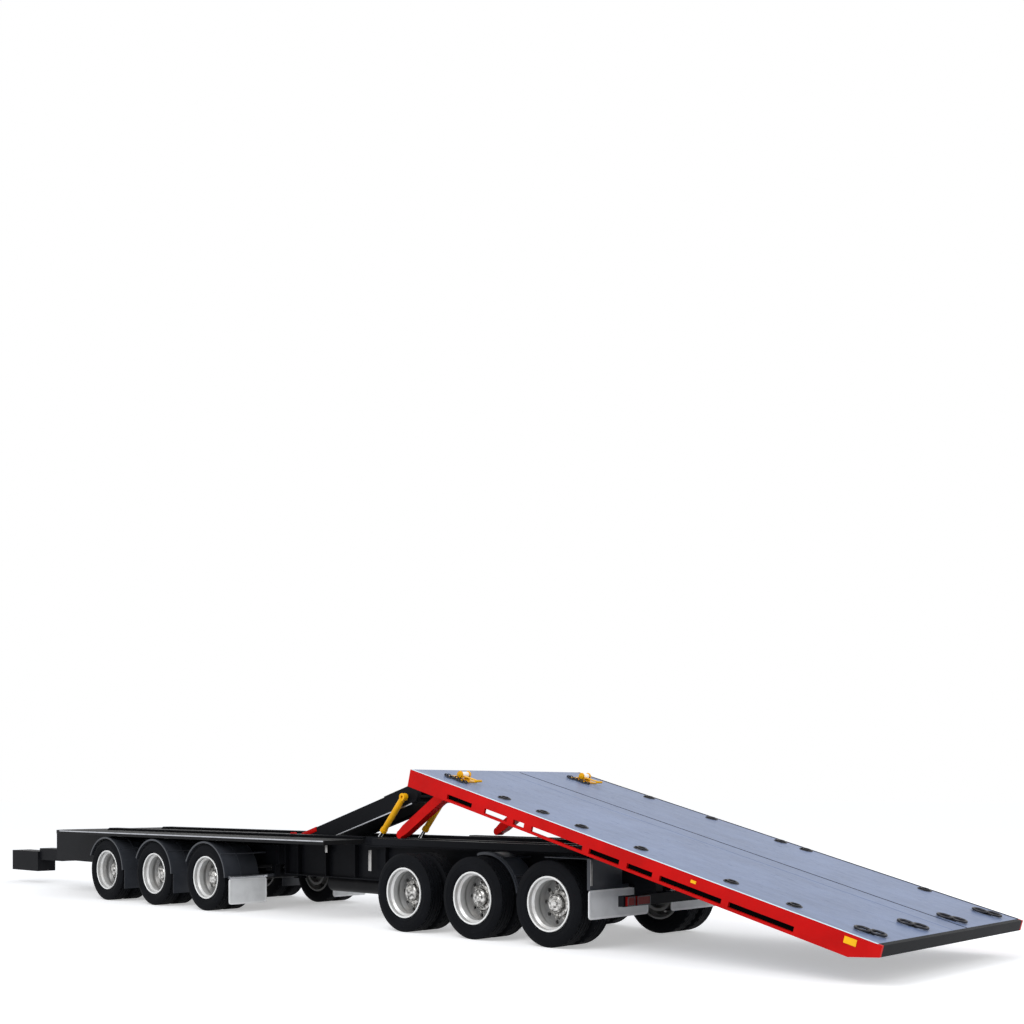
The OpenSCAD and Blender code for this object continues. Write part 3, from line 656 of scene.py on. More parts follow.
class Bench:
    """Modelling bench: one mesh at the origin, shaped in edit mode by operators."""

    TURNS = {"X": (0.0, math.pi / 2, 0.0), "Y": (-math.pi / 2, 0.0, 0.0), "Z": (0.0, 0.0, 0.0)}
    EASE_STEPS = 2
    FACING = 0.9
    FLAT = 0.99
    MERGE = 1e-5

    def __init__(self, name: str) -> None:
        """Starts an empty mesh.

        Args:
            name: Name of the piece.
        """
        bpy.ops.object.select_all(action="DESELECT")
        bpy.ops.mesh.primitive_plane_add(size=1.0)
        self.piece = bpy.context.object
        self.piece.name = name
        bpy.ops.object.mode_set(mode="EDIT")
        bpy.ops.mesh.delete(type="VERT")

    def fresh(self) -> None:
        """Hides what is finished, so that operators reach only what comes next."""
        bpy.ops.mesh.select_all(action="SELECT")
        bpy.ops.mesh.hide()

    def pick(self, test: FaceTest) -> None:
        """Selects the open faces that pass a test.

        Args:
            test: Takes a face's middle and normal.
        """
        bpy.ops.mesh.select_mode(type="FACE")
        bpy.ops.mesh.select_all(action="DESELECT")
        mesh = bmesh.from_edit_mesh(self.piece.data)
        for face in mesh.faces:
            if not face.hide:
                face.select_set(test(face.calc_center_median(), face.normal))
        mesh.select_flush_mode()
        bmesh.update_edit_mesh(self.piece.data)

    def block(self, size: Point, place: Point, bevel: float) -> None:
        """Adds a block with eased edges.

        Args:
            size: Size along each axis.
            place: Its middle.
            bevel: Width of the eased edges.
        """
        self.fresh()
        bpy.ops.mesh.primitive_cube_add(size=1.0, location=place, scale=size)
        bpy.ops.mesh.bevel(offset=bevel, segments=self.EASE_STEPS, affect="EDGES")

    def press(self, press: Press) -> None:
        """Presses the picked faces in, inside a flat rim.

        Args:
            press: Width of the rim, width of the slope, and depth.
        """
        rim, slope, depth = press
        bpy.ops.mesh.inset(thickness=rim)
        bpy.ops.mesh.inset(thickness=slope, depth=-depth)

    def beside(self, block: Block, sign: float) -> None:
        """Adds a block on one side of the middle plane.

        Args:
            block: Size, middle on the left side, and bevel.
            sign: Side of the block.
        """
        size, (x, y, z), bevel = block
        self.block(size, (x, sign * y, z), bevel)

    def turning(self, radius: float, depth: float, place: Point, axis: str, sides: int,
                top: float | None = None, bevel: float = 0.0) -> None:
        """Adds a round or many-sided body with eased ends.

        Args:
            radius: Radius at its lower end.
            depth: Length along the axis.
            place: Its middle.
            axis: X, Y or Z.
            sides: Number of sides.
            top: Radius at its upper end, as below when left out.
            bevel: Width of the eased ends.
        """
        self.fresh()
        upper = radius if top is None else top
        bpy.ops.mesh.primitive_cone_add(vertices=sides, radius1=radius, radius2=upper, depth=depth,
                                        location=place, rotation=self.TURNS[axis])
        if bevel:
            index = "XYZ".index(axis)
            self.pick(lambda _middle, normal: abs(normal[index]) > self.FACING)
            bpy.ops.mesh.bevel(offset=bevel, segments=self.EASE_STEPS, affect="EDGES")

    def close(self) -> None:
        """Merges doubles and turns all open faces outwards."""
        bpy.ops.mesh.select_all(action="SELECT")
        bpy.ops.mesh.remove_doubles(threshold=self.MERGE)
        bpy.ops.mesh.normals_make_consistent(inside=False)

    def extrude(self, move: Point) -> None:
        """Extrudes what is selected along a move."""
        bpy.ops.mesh.extrude_region_move(TRANSFORM_OT_translate={"value": move})

    def ring(self, radius: float, thick: float, place: Point, axis: str, sides: int,
             stretch: Point = (1.0, 1.0, 1.0), tube: int = 10) -> None:
        """Spins a round section into a closed ring.

        Args:
            radius: Radius to the middle of the section.
            thick: Radius of the section.
            place: Middle of the ring.
            axis: Axis that the ring turns about.
            sides: Steps round the ring.
            stretch: Scale of the ring along each axis.
            tube: Sides of the section.
        """
        self.fresh()
        around = Vector([float(letter == axis) for letter in "XYZ"])
        out = Vector((1.0, 0.0, 0.0)) if axis != "X" else Vector((0.0, 1.0, 0.0))
        turn = (math.pi / 2, 0.0, 0.0) if axis == "Z" else (0.0, 0.0, 0.0)
        bpy.ops.mesh.primitive_circle_add(vertices=tube, radius=thick, rotation=turn,
                                          location=Vector(place) + radius * out)
        bpy.ops.mesh.spin(steps=sides, angle=math.tau, center=place, axis=around)
        self.close()
        bpy.ops.transform.resize(value=stretch, center_override=place)

    def around(self, count: int, axis: Point = (0.0, 1.0, 0.0), centre: Point = (0.0, 0.0, 0.0)) -> None:
        """Repeats what is open round an axis.

        Args:
            count: Number of copies with the first.
            axis: Axis of the circle.
            centre: Its centre.
        """
        bpy.ops.mesh.select_all(action="SELECT")
        sweep = math.tau * (count - 1) / count
        bpy.ops.mesh.spin(steps=count - 1, angle=sweep, dupli=True, center=centre, axis=axis)

    def done(self, place: Matrix | None = None, angle: float = 35.0) -> bpy.types.Object:
        """Ends the modelling and lays the mesh in its place.

        Args:
            place: Transform into the trailer's frame.
            angle: Greatest angle in degrees that is shaded smooth.

        Returns:
            The finished piece.
        """
        bpy.ops.mesh.reveal(select=False)
        bpy.ops.object.mode_set(mode="OBJECT")
        bpy.ops.object.shade_smooth_by_angle(angle=math.radians(angle))
        if place is not None:
            self.piece.data.transform(place)
        return self.piece


@dataclass(frozen=True)
class Places:
    """Places on the trailer, counted from its last axle in metres."""

    axle_x: float
    tilt: float
    pivot: Point = (-0.463, 0.0, 0.985)
    deck_front: Point = (2.485, 0.0, 0.305)
    lift_hinge: Point = (5.45, 0.0, 1.01)
    lift_slope: float = math.radians(16.4)
    leg_pin: Point = (-0.15, 0.0, -0.14)
    leg_slope: float = math.radians(32.5)

    def legs(self) -> Matrix:
        """Frame of the prop legs, at their pins, with x towards the rollers."""
        lean = Matrix.Rotation(self.leg_slope + self.tilt, 4, "Y")
        return self.deck() @ Matrix.Translation(self.leg_pin) @ lean

    def chassis(self) -> Matrix:
        """Frame of the chassis, level under the last axle."""
        return Matrix.Translation((self.axle_x, 0.0, 0.0))

    def deck(self) -> Matrix:
        """Frame of the deck, at the middle of its front edge on its top face."""
        slope = Matrix.Rotation(-self.tilt, 4, "Y")
        return self.chassis() @ Matrix.Translation(self.pivot) @ slope @ Matrix.Translation(self.deck_front)

    def lift(self) -> Matrix:
        """Frame of the lift frame, at its hinge."""
        slope = Matrix.Rotation(self.lift_slope, 4, "Y")
        return self.chassis() @ Matrix.Translation(self.lift_hinge) @ slope


@dataclass
class Shop:
    """Gives pieces their finish and body, and copies them."""

    paints: Paints
    slots: frozenset[str]
    places: Places
    made: list[str] = field(default_factory=list)

    def fit(self, piece: bpy.types.Object, finish: str, body: str, replaces: Sequence[str] = ()) -> None:
        """Dresses a piece and puts it on its body.

        Args:
            piece: Finished piece.
            finish: Name of its finish.
            body: Body that it rides.
            replaces: Nodes that it stands for.
        """
        piece.data.materials.clear()
        piece.data.materials.append(self.paints[finish])
        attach(piece, body)
        finish in self.slots
        if replaces:
            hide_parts(*replaces)
        self.made.append(piece.name)
        LOG.info("%s: %s on %s, %d faces", piece.name, finish, body, len(piece.data.polygons))

    def copy(self, piece: bpy.types.Object, name: str, place: Matrix) -> bpy.types.Object:
        """Copies a piece with its own mesh.

        Args:
            piece: Piece that is copied.
            name: Name of the copy.
            place: Transform of the copy's mesh.

        Returns:
            The copy.
        """
        twin = piece.copy()
        twin.data = piece.data.copy()
        twin.name = name
        twin.data.transform(place)
        bpy.context.scene.collection.objects.link(twin)
        return twin

    def spread(self, piece: bpy.types.Object, places: Sequence[Matrix], finish: str, body: str) -> None:
        """Lays copies of a piece at places and takes the first one away.

        Args:
            piece: Piece modelled at its own origin.
            places: Transforms of the copies.
            finish: Name of their finish.
            body: Body that they ride.
        """
        for index, place in enumerate(places, 1):
            self.fit(self.copy(piece, f"{piece.name}_{index}", place), finish, body)
        bpy.data.objects.remove(piece)


@dataclass
class Wheels:
    """Twin tyres with a ribbed road tread, wheel nuts, hub caps and bright rim lips.

    A wall step is the width and the depth of one inset of the side wall.
    A turned step is its radius, depth, place along the axle, sides, upper radius and bevel.
    The bead and the lip are each a radius, a radius of the section and a place along the axle.
    """

    shop: Shop
    wheels: tuple[str, ...] = ("f1", "f2", "f3", "r1", "r2", "r3")
    radius: float = 0.465
    tread: float = 0.19
    pitch: float = 0.285
    sides: int = 64
    grooves: tuple[float, ...] = (-0.066, -0.028, 0.028, 0.066)
    groove_half: float = 0.0045
    groove_depth: float = 0.012
    groove_draft: float = 0.0006
    shoulder: float = 0.072
    shoulder_cut: float = 0.007
    wall: tuple[tuple[float, float], ...] = (
        (0.008, 0.007), (0.014, 0.009), (0.022, 0.008), (0.026, 0.004), (0.002, 0.002), (0.006, 0.0),
        (0.002, -0.002), (0.025, -0.001), (0.022, -0.006), (0.002, 0.002), (0.006, 0.0), (0.002, -0.003),
        (0.014, -0.010), (0.010, -0.011), (0.004, -0.004), (0.012, -0.002))
    smooth: float = 32.0
    nut_circle: float = 0.17
    nut_count: int = 10
    nut_steps: tuple[Turned, ...] = (
        (0.025, 0.005, 0.0165, 20, None, 0.001), (0.019, 0.024, 0.031, 6, None, 0.002),
        (0.011, 0.014, 0.050, 12, None, 0.002))
    bolt_circle: float = 0.1225
    bolt_count: int = 8
    bolt_step: Turned = (0.0095, 0.011, 0.0835, 6, None, 0.0015)
    hub_step: Turned = (0.1415, 0.065, 0.0465, 48, None, 0.003)
    bead: tuple[float, float, float] = (0.109, 0.006, 0.080)
    cap_steps: tuple[Turned, ...] = (
        (0.107, 0.048, 0.102, 40, 0.098, 0.0), (0.098, 0.018, 0.132, 40, 0.080, 0.002),
        (0.05, 0.008, 0.144, 32, 0.042, 0.002))
    lip_ring: tuple[float, float, float] = (0.2915, 0.0075, 0.2425)

    def build(self) -> None:
        """Models each piece once and copies it to all twelve wheels."""
        pieces = ((self.tyres(), "tyre", "tyres"), (self.nuts(), "hub_metal", None),
                  (self.lip(), "rim_edge", None))
        for wheel in self.wheels:
            for side in Side:
                end = f"{wheel}_{side.word}"
                low, high = (Vector(corner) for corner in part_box(f"tyres_{end}"))
                turn = Matrix.Rotation(0.0 if side is Side.LEFT else math.pi, 4, "Z")
                place = Matrix.Translation((low + high) / 2) @ turn
                for piece, finish, node in pieces:
                    twin = self.shop.copy(piece, f"{piece.name}_{end}", place)
                    self.shop.fit(twin, finish, f"wheel_{end}", [f"{node}_{end}"] if node else [])
        for piece, _finish, _node in pieces:
            bpy.data.objects.remove(piece)

    def tyres(self) -> bpy.types.Object:
        """Shapes one tyre from a drum, cuts its tread and doubles it.

        Returns:
            The twin at its own middle.
        """
        bench = Bench("tyre_twin")
        bench.turning(self.radius, self.tread, (0.0, 0.0, 0.0), "Y", self.sides)
        for middle in self.grooves:
            for edge in (middle - self.groove_half, middle + self.groove_half):
                bpy.ops.mesh.select_all(action="SELECT")
                bpy.ops.mesh.bisect(plane_co=(0.0, edge, 0.0), plane_no=(0.0, 1.0, 0.0))
        bench.pick(lambda _middle, normal: abs(normal.y) > bench.FACING)
        for thickness, depth in self.wall:
            bpy.ops.mesh.inset(thickness=thickness, depth=depth)
        bpy.ops.mesh.delete(type="ONLY_FACE")
        bpy.ops.mesh.select_mode(type="EDGE")
        bpy.ops.mesh.select_all(action="DESELECT")
        bpy.ops.mesh.select_non_manifold()
        bpy.ops.mesh.bridge_edge_loops()
        bench.pick(lambda middle, _normal: self.on_tread(middle) and self.in_groove(middle.y))
        bpy.ops.mesh.inset(thickness=self.groove_draft, depth=-self.groove_depth)
        bench.pick(lambda middle, _normal: self.on_tread(middle) and abs(middle.y) > self.shoulder
                   and self.sector(middle) % 2 == 0)
        bpy.ops.mesh.inset(thickness=self.shoulder_cut, depth=-self.shoulder_cut, use_individual=True)
        bpy.ops.mesh.select_all(action="SELECT")
        bpy.ops.mesh.normals_make_consistent(inside=False)
        bpy.ops.transform.translate(value=(0.0, self.pitch / 2, 0.0))
        bpy.ops.mesh.duplicate_move(TRANSFORM_OT_translate={"value": (0.0, -self.pitch, 0.0)})
        return bench.done(angle=self.smooth)

    def on_tread(self, middle: Vector) -> bool:
        """Whether a face lies on the running surface."""
        return math.hypot(middle.x, middle.z) > 0.99 * self.radius and abs(middle.y) < self.tread / 2

    def in_groove(self, y: float) -> bool:
        """Whether a face lies in one of the grooves."""
        return any(abs(y - middle) < self.groove_half for middle in self.grooves)

    def sector(self, middle: Vector) -> int:
        """Number of the sector round the tyre."""
        return math.floor((math.atan2(middle.z, middle.x) / math.tau % 1.0) * self.sides)

    def nuts(self) -> bpy.types.Object:
        """Models one wheel nut and one cap bolt, repeats them round the hub and adds the cap.

        Returns:
            The dress of one hub.
        """
        bench = Bench("wheel_nuts")
        for step in self.nut_steps:
            self.turn(bench, step, self.nut_circle)
        bpy.ops.mesh.reveal()
        bench.around(self.nut_count)
        self.turn(bench, self.bolt_step, self.bolt_circle)
        bench.around(self.bolt_count)
        self.turn(bench, self.hub_step)
        radius, thick, y = self.bead
        bench.ring(radius, thick, (0.0, y, 0.0), "Y", 40)
        for step in self.cap_steps:
            self.turn(bench, step)
        return bench.done()

    def turn(self, bench: Bench, step: Turned, out: float = 0.0) -> None:
        """Adds one turned step along the axle.

        Args:
            bench: Bench with the piece.
            step: The turned step.
            out: Distance from the axle.
        """
        radius, depth, y, sides, top, bevel = step
        bench.turning(radius, depth, (out, y, 0.0), "Y", sides, top, bevel)

    def lip(self) -> bpy.types.Object:
        """Spins the bright lip of the outer rim.

        Returns:
            The lip at the twin's middle.
        """
        bench = Bench("rim_lip")
        radius, thick, y = self.lip_ring
        bench.ring(radius, thick, (0.0, y, 0.0), "Y", self.sides)
        return bench.done()


@dataclass
class DeckGear:
    """Lashing rings, chain anchors, winches, edge strips (the pale one a painted highlight), plate joints,
    and dark sheets of painted shade behind the rail slots of the deck.

    A block is its size, its middle on the left side and its bevel.
    A press is the width of a flat rim, the width of the slope inside it and the depth.
    A ring or link is the radius to the middle of its section and the radius of the section.
    """

    shop: Shop
    length: float = 6.05
    half: float = 1.5
    near_rings: tuple[float, ...] = (1.28, 1.86, 2.42, 3.22, 4.32, 5.02)
    far_rings: tuple[float, ...] = (1.28, 2.24, 3.22, 3.56, 5.02)
    near_y: float = 1.24
    far_y: float = -1.385
    joint_y: float = -0.28
    cup: tuple[float, float, float] = (0.078, 0.073, 0.007)
    cup_press: Press = (0.010, 0.003, 0.004)
    cup_ring: tuple[float, float] = (0.041, 0.008)
    cup_ring_place: Point = (-0.008, 0.0, 0.011)
    cup_ring_stretch: Point = (1.15, 1.0, 1.0)
    cup_clip: Block = ((0.016, 0.086, 0.014), (0.044, 0.0, 0.010), 0.003)
    anchor_plate: Block = ((0.12, 0.09, 0.006), (0.0, 0.0, 0.003), 0.002)
    anchor_bar: tuple[float, float, float] = (0.013, 0.10, 0.020)
    anchor_ring: tuple[float, float] = (0.062, 0.012)
    anchor_rings: tuple[Point, ...] = ((0.062, 0.018, 0.017), (-0.066, -0.020, 0.019))
    anchor_stretch: Point = (1.15, 0.95, 1.0)
    anchor_s: float = 5.78
    anchor_y: tuple[float, ...] = (1.22, 0.41, -0.41, -1.22)
    winch_s: float = 0.45
    winch_y: float = 1.08
    drum_z: float = 0.058
    winch_base: Block = ((0.30, 0.17, 0.012), (0.0, 0.0, 0.006), 0.004)
    winch_cheek: Block = ((0.09, 0.012, 0.05), (0.0, 0.062, 0.035), 0.003)
    cheek_head: tuple[float, float, float] = (0.044, 0.012, 0.062)
    ratchet: tuple[float, float, float] = (0.038, 0.010, 0.075)
    drum: tuple[float, float] = (0.018, 0.17)
    lever: Block = ((0.25, 0.05, 0.010), (-0.15, 0.03, 0.05), 0.003)
    lever_grip: tuple[float, float] = (0.015, 0.10)
    lever_end: Point = (-0.27, 0.03, 0.05)
    strap_roll: tuple[float, float] = (0.034, 0.10)
    strap_turns: int = 4
    strap_step: float = 0.002
    strap_edge: float = 0.001
    chain_rows: tuple[tuple[float, float], ...] = ((0.16, 0.115), (0.12, 0.16))
    chain_links: int = 7
    link_pitch: float = 0.052
    link_sway: float = 0.012
    link_wave: float = 1.7
    link_flat_z: float = 0.008
    link_upright_z: float = 0.020
    link: tuple[float, float] = (0.014, 0.0055)
    link_stretch: Point = (1.9, 1.0, 1.0)
    strip_w: float = 0.028
    strip_t: float = 0.003
    strip_in: float = 0.0155
    strip_z: float = 0.0012
    strip_start: float = 0.013
    strip_short: float = 0.06
    joint_short: float = 0.12
    joint_shift: float = 0.01
    joint_r: float = 0.009
    joint_flat: float = 0.25
    liners_s: tuple[tuple[float, float], ...] = ((0.60, 1.12), (2.72, 5.26))
    liner_z: float = -0.15
    liner_h: float = 0.09
    liner_t: float = 0.006
    liner_in: float = 0.034
    liner_press: Press = (0.004, 0.002, 0.002)

    def build(self) -> None:
        """Models every piece and lays it on the deck."""
        deck = self.shop.places.deck()

        def spots(points: Sequence[tuple[float, float]]) -> list[Matrix]:
            """Transforms of places on the deck."""
            return [deck @ Matrix.Translation((-s, y, 0.0)) for s, y in points]

        rings = [(s, self.near_y) for s in self.near_rings] + [(s, self.far_y) for s in self.far_rings]
        anchors = [(self.anchor_s, y) for y in self.anchor_y]
        winches = spots([(self.winch_s, sign * self.winch_y) for sign in SIGNS])
        self.shop.spread(self.ring(), spots(rings), "ring_iron", "deck")
        self.shop.spread(self.anchor(), spots(anchors), "ring_iron", "deck")
        self.shop.spread(self.winch(), winches, "ram_yellow", "deck")
        self.shop.spread(self.strap(), winches, "flap_border", "deck")
        self.shop.spread(self.chain(), winches, "ring_iron", "deck")
        # The pale strip on the near rail is a painted highlight of its top edge.
        self.shop.fit(self.strip("highlight_edge_strip", deck, 1.0), "edge_pale", "deck")
        self.shop.fit(self.strip("dark_edge_strip", deck, -1.0), "slot_dark", "deck")
        self.shop.fit(self.joint("plate_joint", deck, self.joint_y), "slot_dark", "deck")
        self.shop.fit(self.joint("seam_weld", deck, 0.0), "deck_blue_grey", "deck")
        # The dark sheets behind the rail slots are painted shade from under the deck.
        self.shop.fit(self.liners(deck), "slot_dark", "deck")

    def ring(self) -> bpy.types.Object:
        """Shapes a low cup with a ring lying in it.

        Returns:
            The piece at its own origin.
        """
        bench = Bench("lash_ring")
        foot, rim, height = self.cup
        bench.turning(foot, height, (0.0, 0.0, height / 2), "Z", 32, top=rim)
        bench.pick(lambda _middle, normal: normal.z > bench.FACING)
        bench.press(self.cup_press)
        bench.ring(*self.cup_ring, self.cup_ring_place, "Z", 32, self.cup_ring_stretch)
        bench.block(*self.cup_clip)
        return bench.done()

    def anchor(self) -> bpy.types.Object:
        """Shapes a plate with a bar and two loose rings.

        Returns:
            The piece at its own origin.
        """
        bench = Bench("chain_anchor")
        radius, length, z = self.anchor_bar
        bench.block(*self.anchor_plate)
        bench.turning(radius, length, (0.0, 0.0, z), "Y", 16, bevel=0.003)
        for place in self.anchor_rings:
            bench.ring(*self.anchor_ring, place, "Z", 32, self.anchor_stretch)
        return bench.done()

    def winch(self) -> bpy.types.Object:
        """Shapes a ratchet winch: a base, two cheeks, a drum, ratchet wheels and a lever.

        Returns:
            The piece at its own origin.
        """
        bench = Bench("lash_winch")
        bench.block(*self.winch_base)
        for sign in SIGNS:
            bench.beside(self.winch_cheek, sign)
            for (radius, width, y), sides in ((self.cheek_head, 28), (self.ratchet, 12)):
                bench.turning(radius, width, (0.0, sign * y, self.drum_z), "Y", sides, bevel=0.002)
        bench.turning(*self.drum, (0.0, 0.0, self.drum_z), "Y", 20, bevel=0.003)
        bench.block(*self.lever)
        bench.turning(*self.lever_grip, self.lever_end, "Y", 16, bevel=0.004)
        return bench.done()

    def strap(self) -> bpy.types.Object:
        """Shapes the roll of webbing on a winch's drum.

        Returns:
            The piece at its own origin.
        """
        bench = Bench("lash_strap")
        bench.turning(*self.strap_roll, (0.0, 0.0, self.drum_z), "Y", 36, bevel=0.003)
        bench.pick(lambda _middle, normal: abs(normal.y) > bench.FLAT)
        for _turn in range(self.strap_turns):
            bpy.ops.mesh.inset(thickness=self.strap_step, depth=-self.strap_edge)
            bpy.ops.mesh.inset(thickness=self.strap_step, depth=self.strap_edge)
        return bench.done()

    def chain(self) -> bpy.types.Object:
        """Lays two rows of links beside a winch.

        Returns:
            The piece at its own origin.
        """
        bench = Bench("lash_chain")
        for row, (start, y) in enumerate(self.chain_rows):
            for index in range(self.chain_links):
                axis, z = ("Z", self.link_flat_z) if index % 2 == row else ("Y", self.link_upright_z)
                sway = self.link_sway * math.sin(self.link_wave * index)
                place = (start - self.link_pitch * index, y + sway, z)
                bench.ring(*self.link, place, axis, 16, self.link_stretch, 8)
        return bench.done()

    def strip(self, name: str, deck: Matrix, sign: float) -> bpy.types.Object:
        """Lays a strip along the top of one side rail; the pale one on the near side is a painted highlight
        on the rail's edge.

        Args:
            name: Name of the piece.
            deck: Frame of the deck.
            sign: Side of the deck.

        Returns:
            The strip in place.
        """
        bench = Bench(name)
        length = self.length - self.strip_short
        place = (-length / 2 - self.strip_start, sign * (self.half - self.strip_in), self.strip_z)
        bench.block((length, self.strip_w, self.strip_t), place, 0.001)
        return bench.done(deck)

    def joint(self, name: str, deck: Matrix, y: float) -> bpy.types.Object:
        """Lays the bead that seals a joint between two deck plates.

        Args:
            name: Name of the piece.
            deck: Frame of the deck.
            y: Place of the joint across the deck.

        Returns:
            The bead in place.
        """
        bench = Bench(name)
        place = (-self.length / 2 - self.joint_shift, y, 0.0)
        bench.turning(self.joint_r, self.length - self.joint_short, place, "X", 12, bevel=0.002)
        bpy.ops.mesh.select_all(action="SELECT")
        bpy.ops.transform.resize(value=(1.0, 1.0, self.joint_flat), center_override=(0.0, y, 0.0))
        return bench.done(deck)

    def liners(self, deck: Matrix) -> bpy.types.Object:
        """Sets dark pressed sheets behind the lashing slots of each side rail, as painted shade from under
        the deck seen through the slots.

        Args:
            deck: Frame of the deck.

        Returns:
            All sheets in place.
        """
        bench = Bench("slot_liners")
        for first, last in self.liners_s:
            for sign in SIGNS:
                place = (-(first + last) / 2, sign * (self.half - self.liner_in), self.liner_z)
                bench.block((last - first, self.liner_t, self.liner_h), place, 0.001)
                bench.pick(lambda middle, normal: abs(normal.y) > bench.FACING and middle.y * normal.y > 0.0)
                bench.press(self.liner_press)
        return bench.done(deck)


@dataclass
class Trim:
    """Bright edges, flap borders, lamp frames, posts, panels, caps and bolts around the deck; the bright
    strip round the platform is a painted highlight.

    A block is its size, its middle on the left side and its bevel.
    A press is the width of a flat rim, the width of the slope inside it and the depth.
    A flap is its station, its inner end, its lower end and its upper end.
    A frame is its width, the radius of its corners and its depth.
    A bolt is its radius and its depth.
    """

    shop: Shop
    edge_rear: float = 3.752
    nose: float = 10.90
    nose_r: float = 0.42
    nose_steps: int = 12
    half: float = 1.25
    edge_z: tuple[float, float] = (1.029, 1.0445)
    edge_t: float = 0.004
    flap_out: float = 1.225
    rear_flap: tuple[float, float, float, float] = (-0.565, 0.215, 0.33, 0.638)
    dolly_flap: tuple[float, float, float, float] = (5.825, 0.60, 0.115, 0.47)
    flap_frame: tuple[float, float, float] = (0.022, 0.04, 0.004)
    lamps: tuple[tuple[float, float], ...] = ((0.90, 0.22), (1.11, 0.12))
    lamp_x: float = -1.03
    lamp_z: tuple[float, float] = (0.498, 0.592)
    lamp_frame: tuple[float, float, float] = (0.008, 0.012, 0.004)
    corner_steps: int = 6
    bar: tuple[float, float] = (5.81, 0.49)
    bar_h: float = 0.036
    bar_t: float = 0.006
    bar_bolts: int = 5
    bar_bolt: tuple[float, float] = (0.009, 0.007)
    lift_edge: Block = ((1.86, 0.004, 0.016), (-1.44, 0.310, -0.170), 0.001)
    lift_tip: Block = ((0.50, 0.56, 0.004), (-2.12, 0.0, 0.069), 0.001)
    lift_root: Block = ((0.34, 0.084, 0.07), (-0.22, 0.265, 0.03), 0.012)
    root_press: Press = (0.012, 0.004, 0.003)
    leg_panel: Block = ((0.20, 0.36, 0.036), (0.275, 0.625, -0.004), 0.006)
    panel_press: Press = (0.04, 0.01, 0.012)
    post_blocks: tuple[Block, ...] = (
        ((0.06, 0.012, 0.27), (3.63, 0.582, 0.775), 0.004),
        ((0.05, 0.012, 0.10), (4.52, 0.582, 0.90), 0.004),
        ((0.006, 0.035, 0.27), (-0.583, 1.205, 0.82), 0.002))
    table_x: float = 7.72
    table_bolts: int = 24
    table_circle: float = 0.58
    table_bolt_z: float = 0.953
    table_bolt: tuple[float, float] = (0.015, 0.016)

    def build(self) -> None:
        """Models every piece and puts it on its body."""
        # The bright strip round the platform is a painted highlight on its edge.
        self.shop.fit(self.platform_edge(), "bright_edge", "chassis")
        for name, body, (x, inner, low, high) in (("rear_flap_border", "chassis", self.rear_flap),
                                                  ("dolly_flap_border", "dolly", self.dolly_flap)):
            for side in Side:
                ends = sorted((side.sign * inner, side.sign * self.flap_out))
                border = self.frame(f"{name}_{side.word}", x, ends, (low, high), *self.flap_frame)
                self.shop.fit(border, "flap_border", body)
        for side in Side:
            ends = sorted((side.sign * self.dolly_flap[1], side.sign * self.flap_out))
            self.shop.fit(self.clamp(f"dolly_flap_bar_{side.word}", ends), "bright_edge", "dolly")
        for index, (y, width) in enumerate(self.lamps):
            for side in Side:
                ends = (side.sign * y - width / 2, side.sign * y + width / 2)
                name = f"lamp_frame_{index}_{side.word}"
                rim = self.frame(name, self.lamp_x, ends, self.lamp_z, *self.lamp_frame)
                self.shop.fit(rim, "guard_black", "chassis")
        self.shop.fit(self.lift_edges(), "bright_edge", "lift")
        self.shop.fit(self.leg_panels(), "hinge_red", "legs")
        self.shop.fit(self.lift_roots(), "hinge_red", "lift")
        self.shop.fit(self.posts(), "eye_steel", "chassis")
        self.shop.fit(self.turntable_bolts(), "eye_steel", "chassis")

    def platform_edge(self) -> bpy.types.Object:
        """Runs a thin bright strip round the platform, from one rear corner to the other, as a painted
        highlight on its edge.

        Returns:
            The edge in place.
        """
        bench = Bench("platform_edge")
        low, high = self.edge_z
        middle = (self.edge_rear, self.half + self.edge_t / 2, (low + high) / 2)
        bpy.ops.mesh.primitive_plane_add(size=1.0, rotation=(0.0, math.pi / 2, 0.0), location=middle)
        bpy.ops.transform.resize(value=(1.0, self.edge_t, high - low), center_override=middle)
        corner_x = self.nose - self.nose_r
        straight = corner_x - self.edge_rear
        side = self.half - self.nose_r
        bench.extrude((straight, 0.0, 0.0))
        self.round_nose((corner_x, side, 0.0))
        bench.extrude((0.0, -2 * side, 0.0))
        self.round_nose((corner_x, -side, 0.0))
        bench.extrude((-straight, 0.0, 0.0))
        bench.close()
        return bench.done(self.shop.places.chassis())

    def round_nose(self, centre: Point) -> None:
        """Carries the platform's edge round one corner of the nose."""
        down = (0.0, 0.0, -1.0)
        bpy.ops.mesh.spin(steps=self.nose_steps, angle=math.pi / 2, center=centre, axis=down)

    def frame(self, name: str, x: float, y: Sequence[float], z: Sequence[float], width: float, corner: float,
              depth: float) -> bpy.types.Object:
        """Shapes a frame with round corners on a face that looks to the rear.

        Args:
            name: Name of the piece.
            x: Station of the face.
            y: Ends across the trailer.
            z: Lower and upper end.
            width: Width of the frame.
            corner: Radius of its corners.
            depth: Height over the face.

        Returns:
            The frame in place.
        """
        bench = Bench(name)
        middle = (x, sum(y) / 2, sum(z) / 2)
        bpy.ops.mesh.primitive_plane_add(size=1.0, rotation=(0.0, -math.pi / 2, 0.0), location=middle)
        bpy.ops.transform.resize(value=(1.0, y[1] - y[0], z[1] - z[0]), center_override=middle)
        bpy.ops.mesh.bevel(offset=corner, segments=self.corner_steps, affect="VERTICES")
        bench.pick(lambda _middle, _normal: True)
        bpy.ops.mesh.inset(thickness=width)
        bpy.ops.mesh.delete(type="FACE")
        bpy.ops.mesh.select_all(action="SELECT")
        bench.extrude((-depth, 0.0, 0.0))
        bpy.ops.mesh.select_all(action="SELECT")
        bpy.ops.mesh.normals_make_consistent(inside=False)
        return bench.done(self.shop.places.chassis())

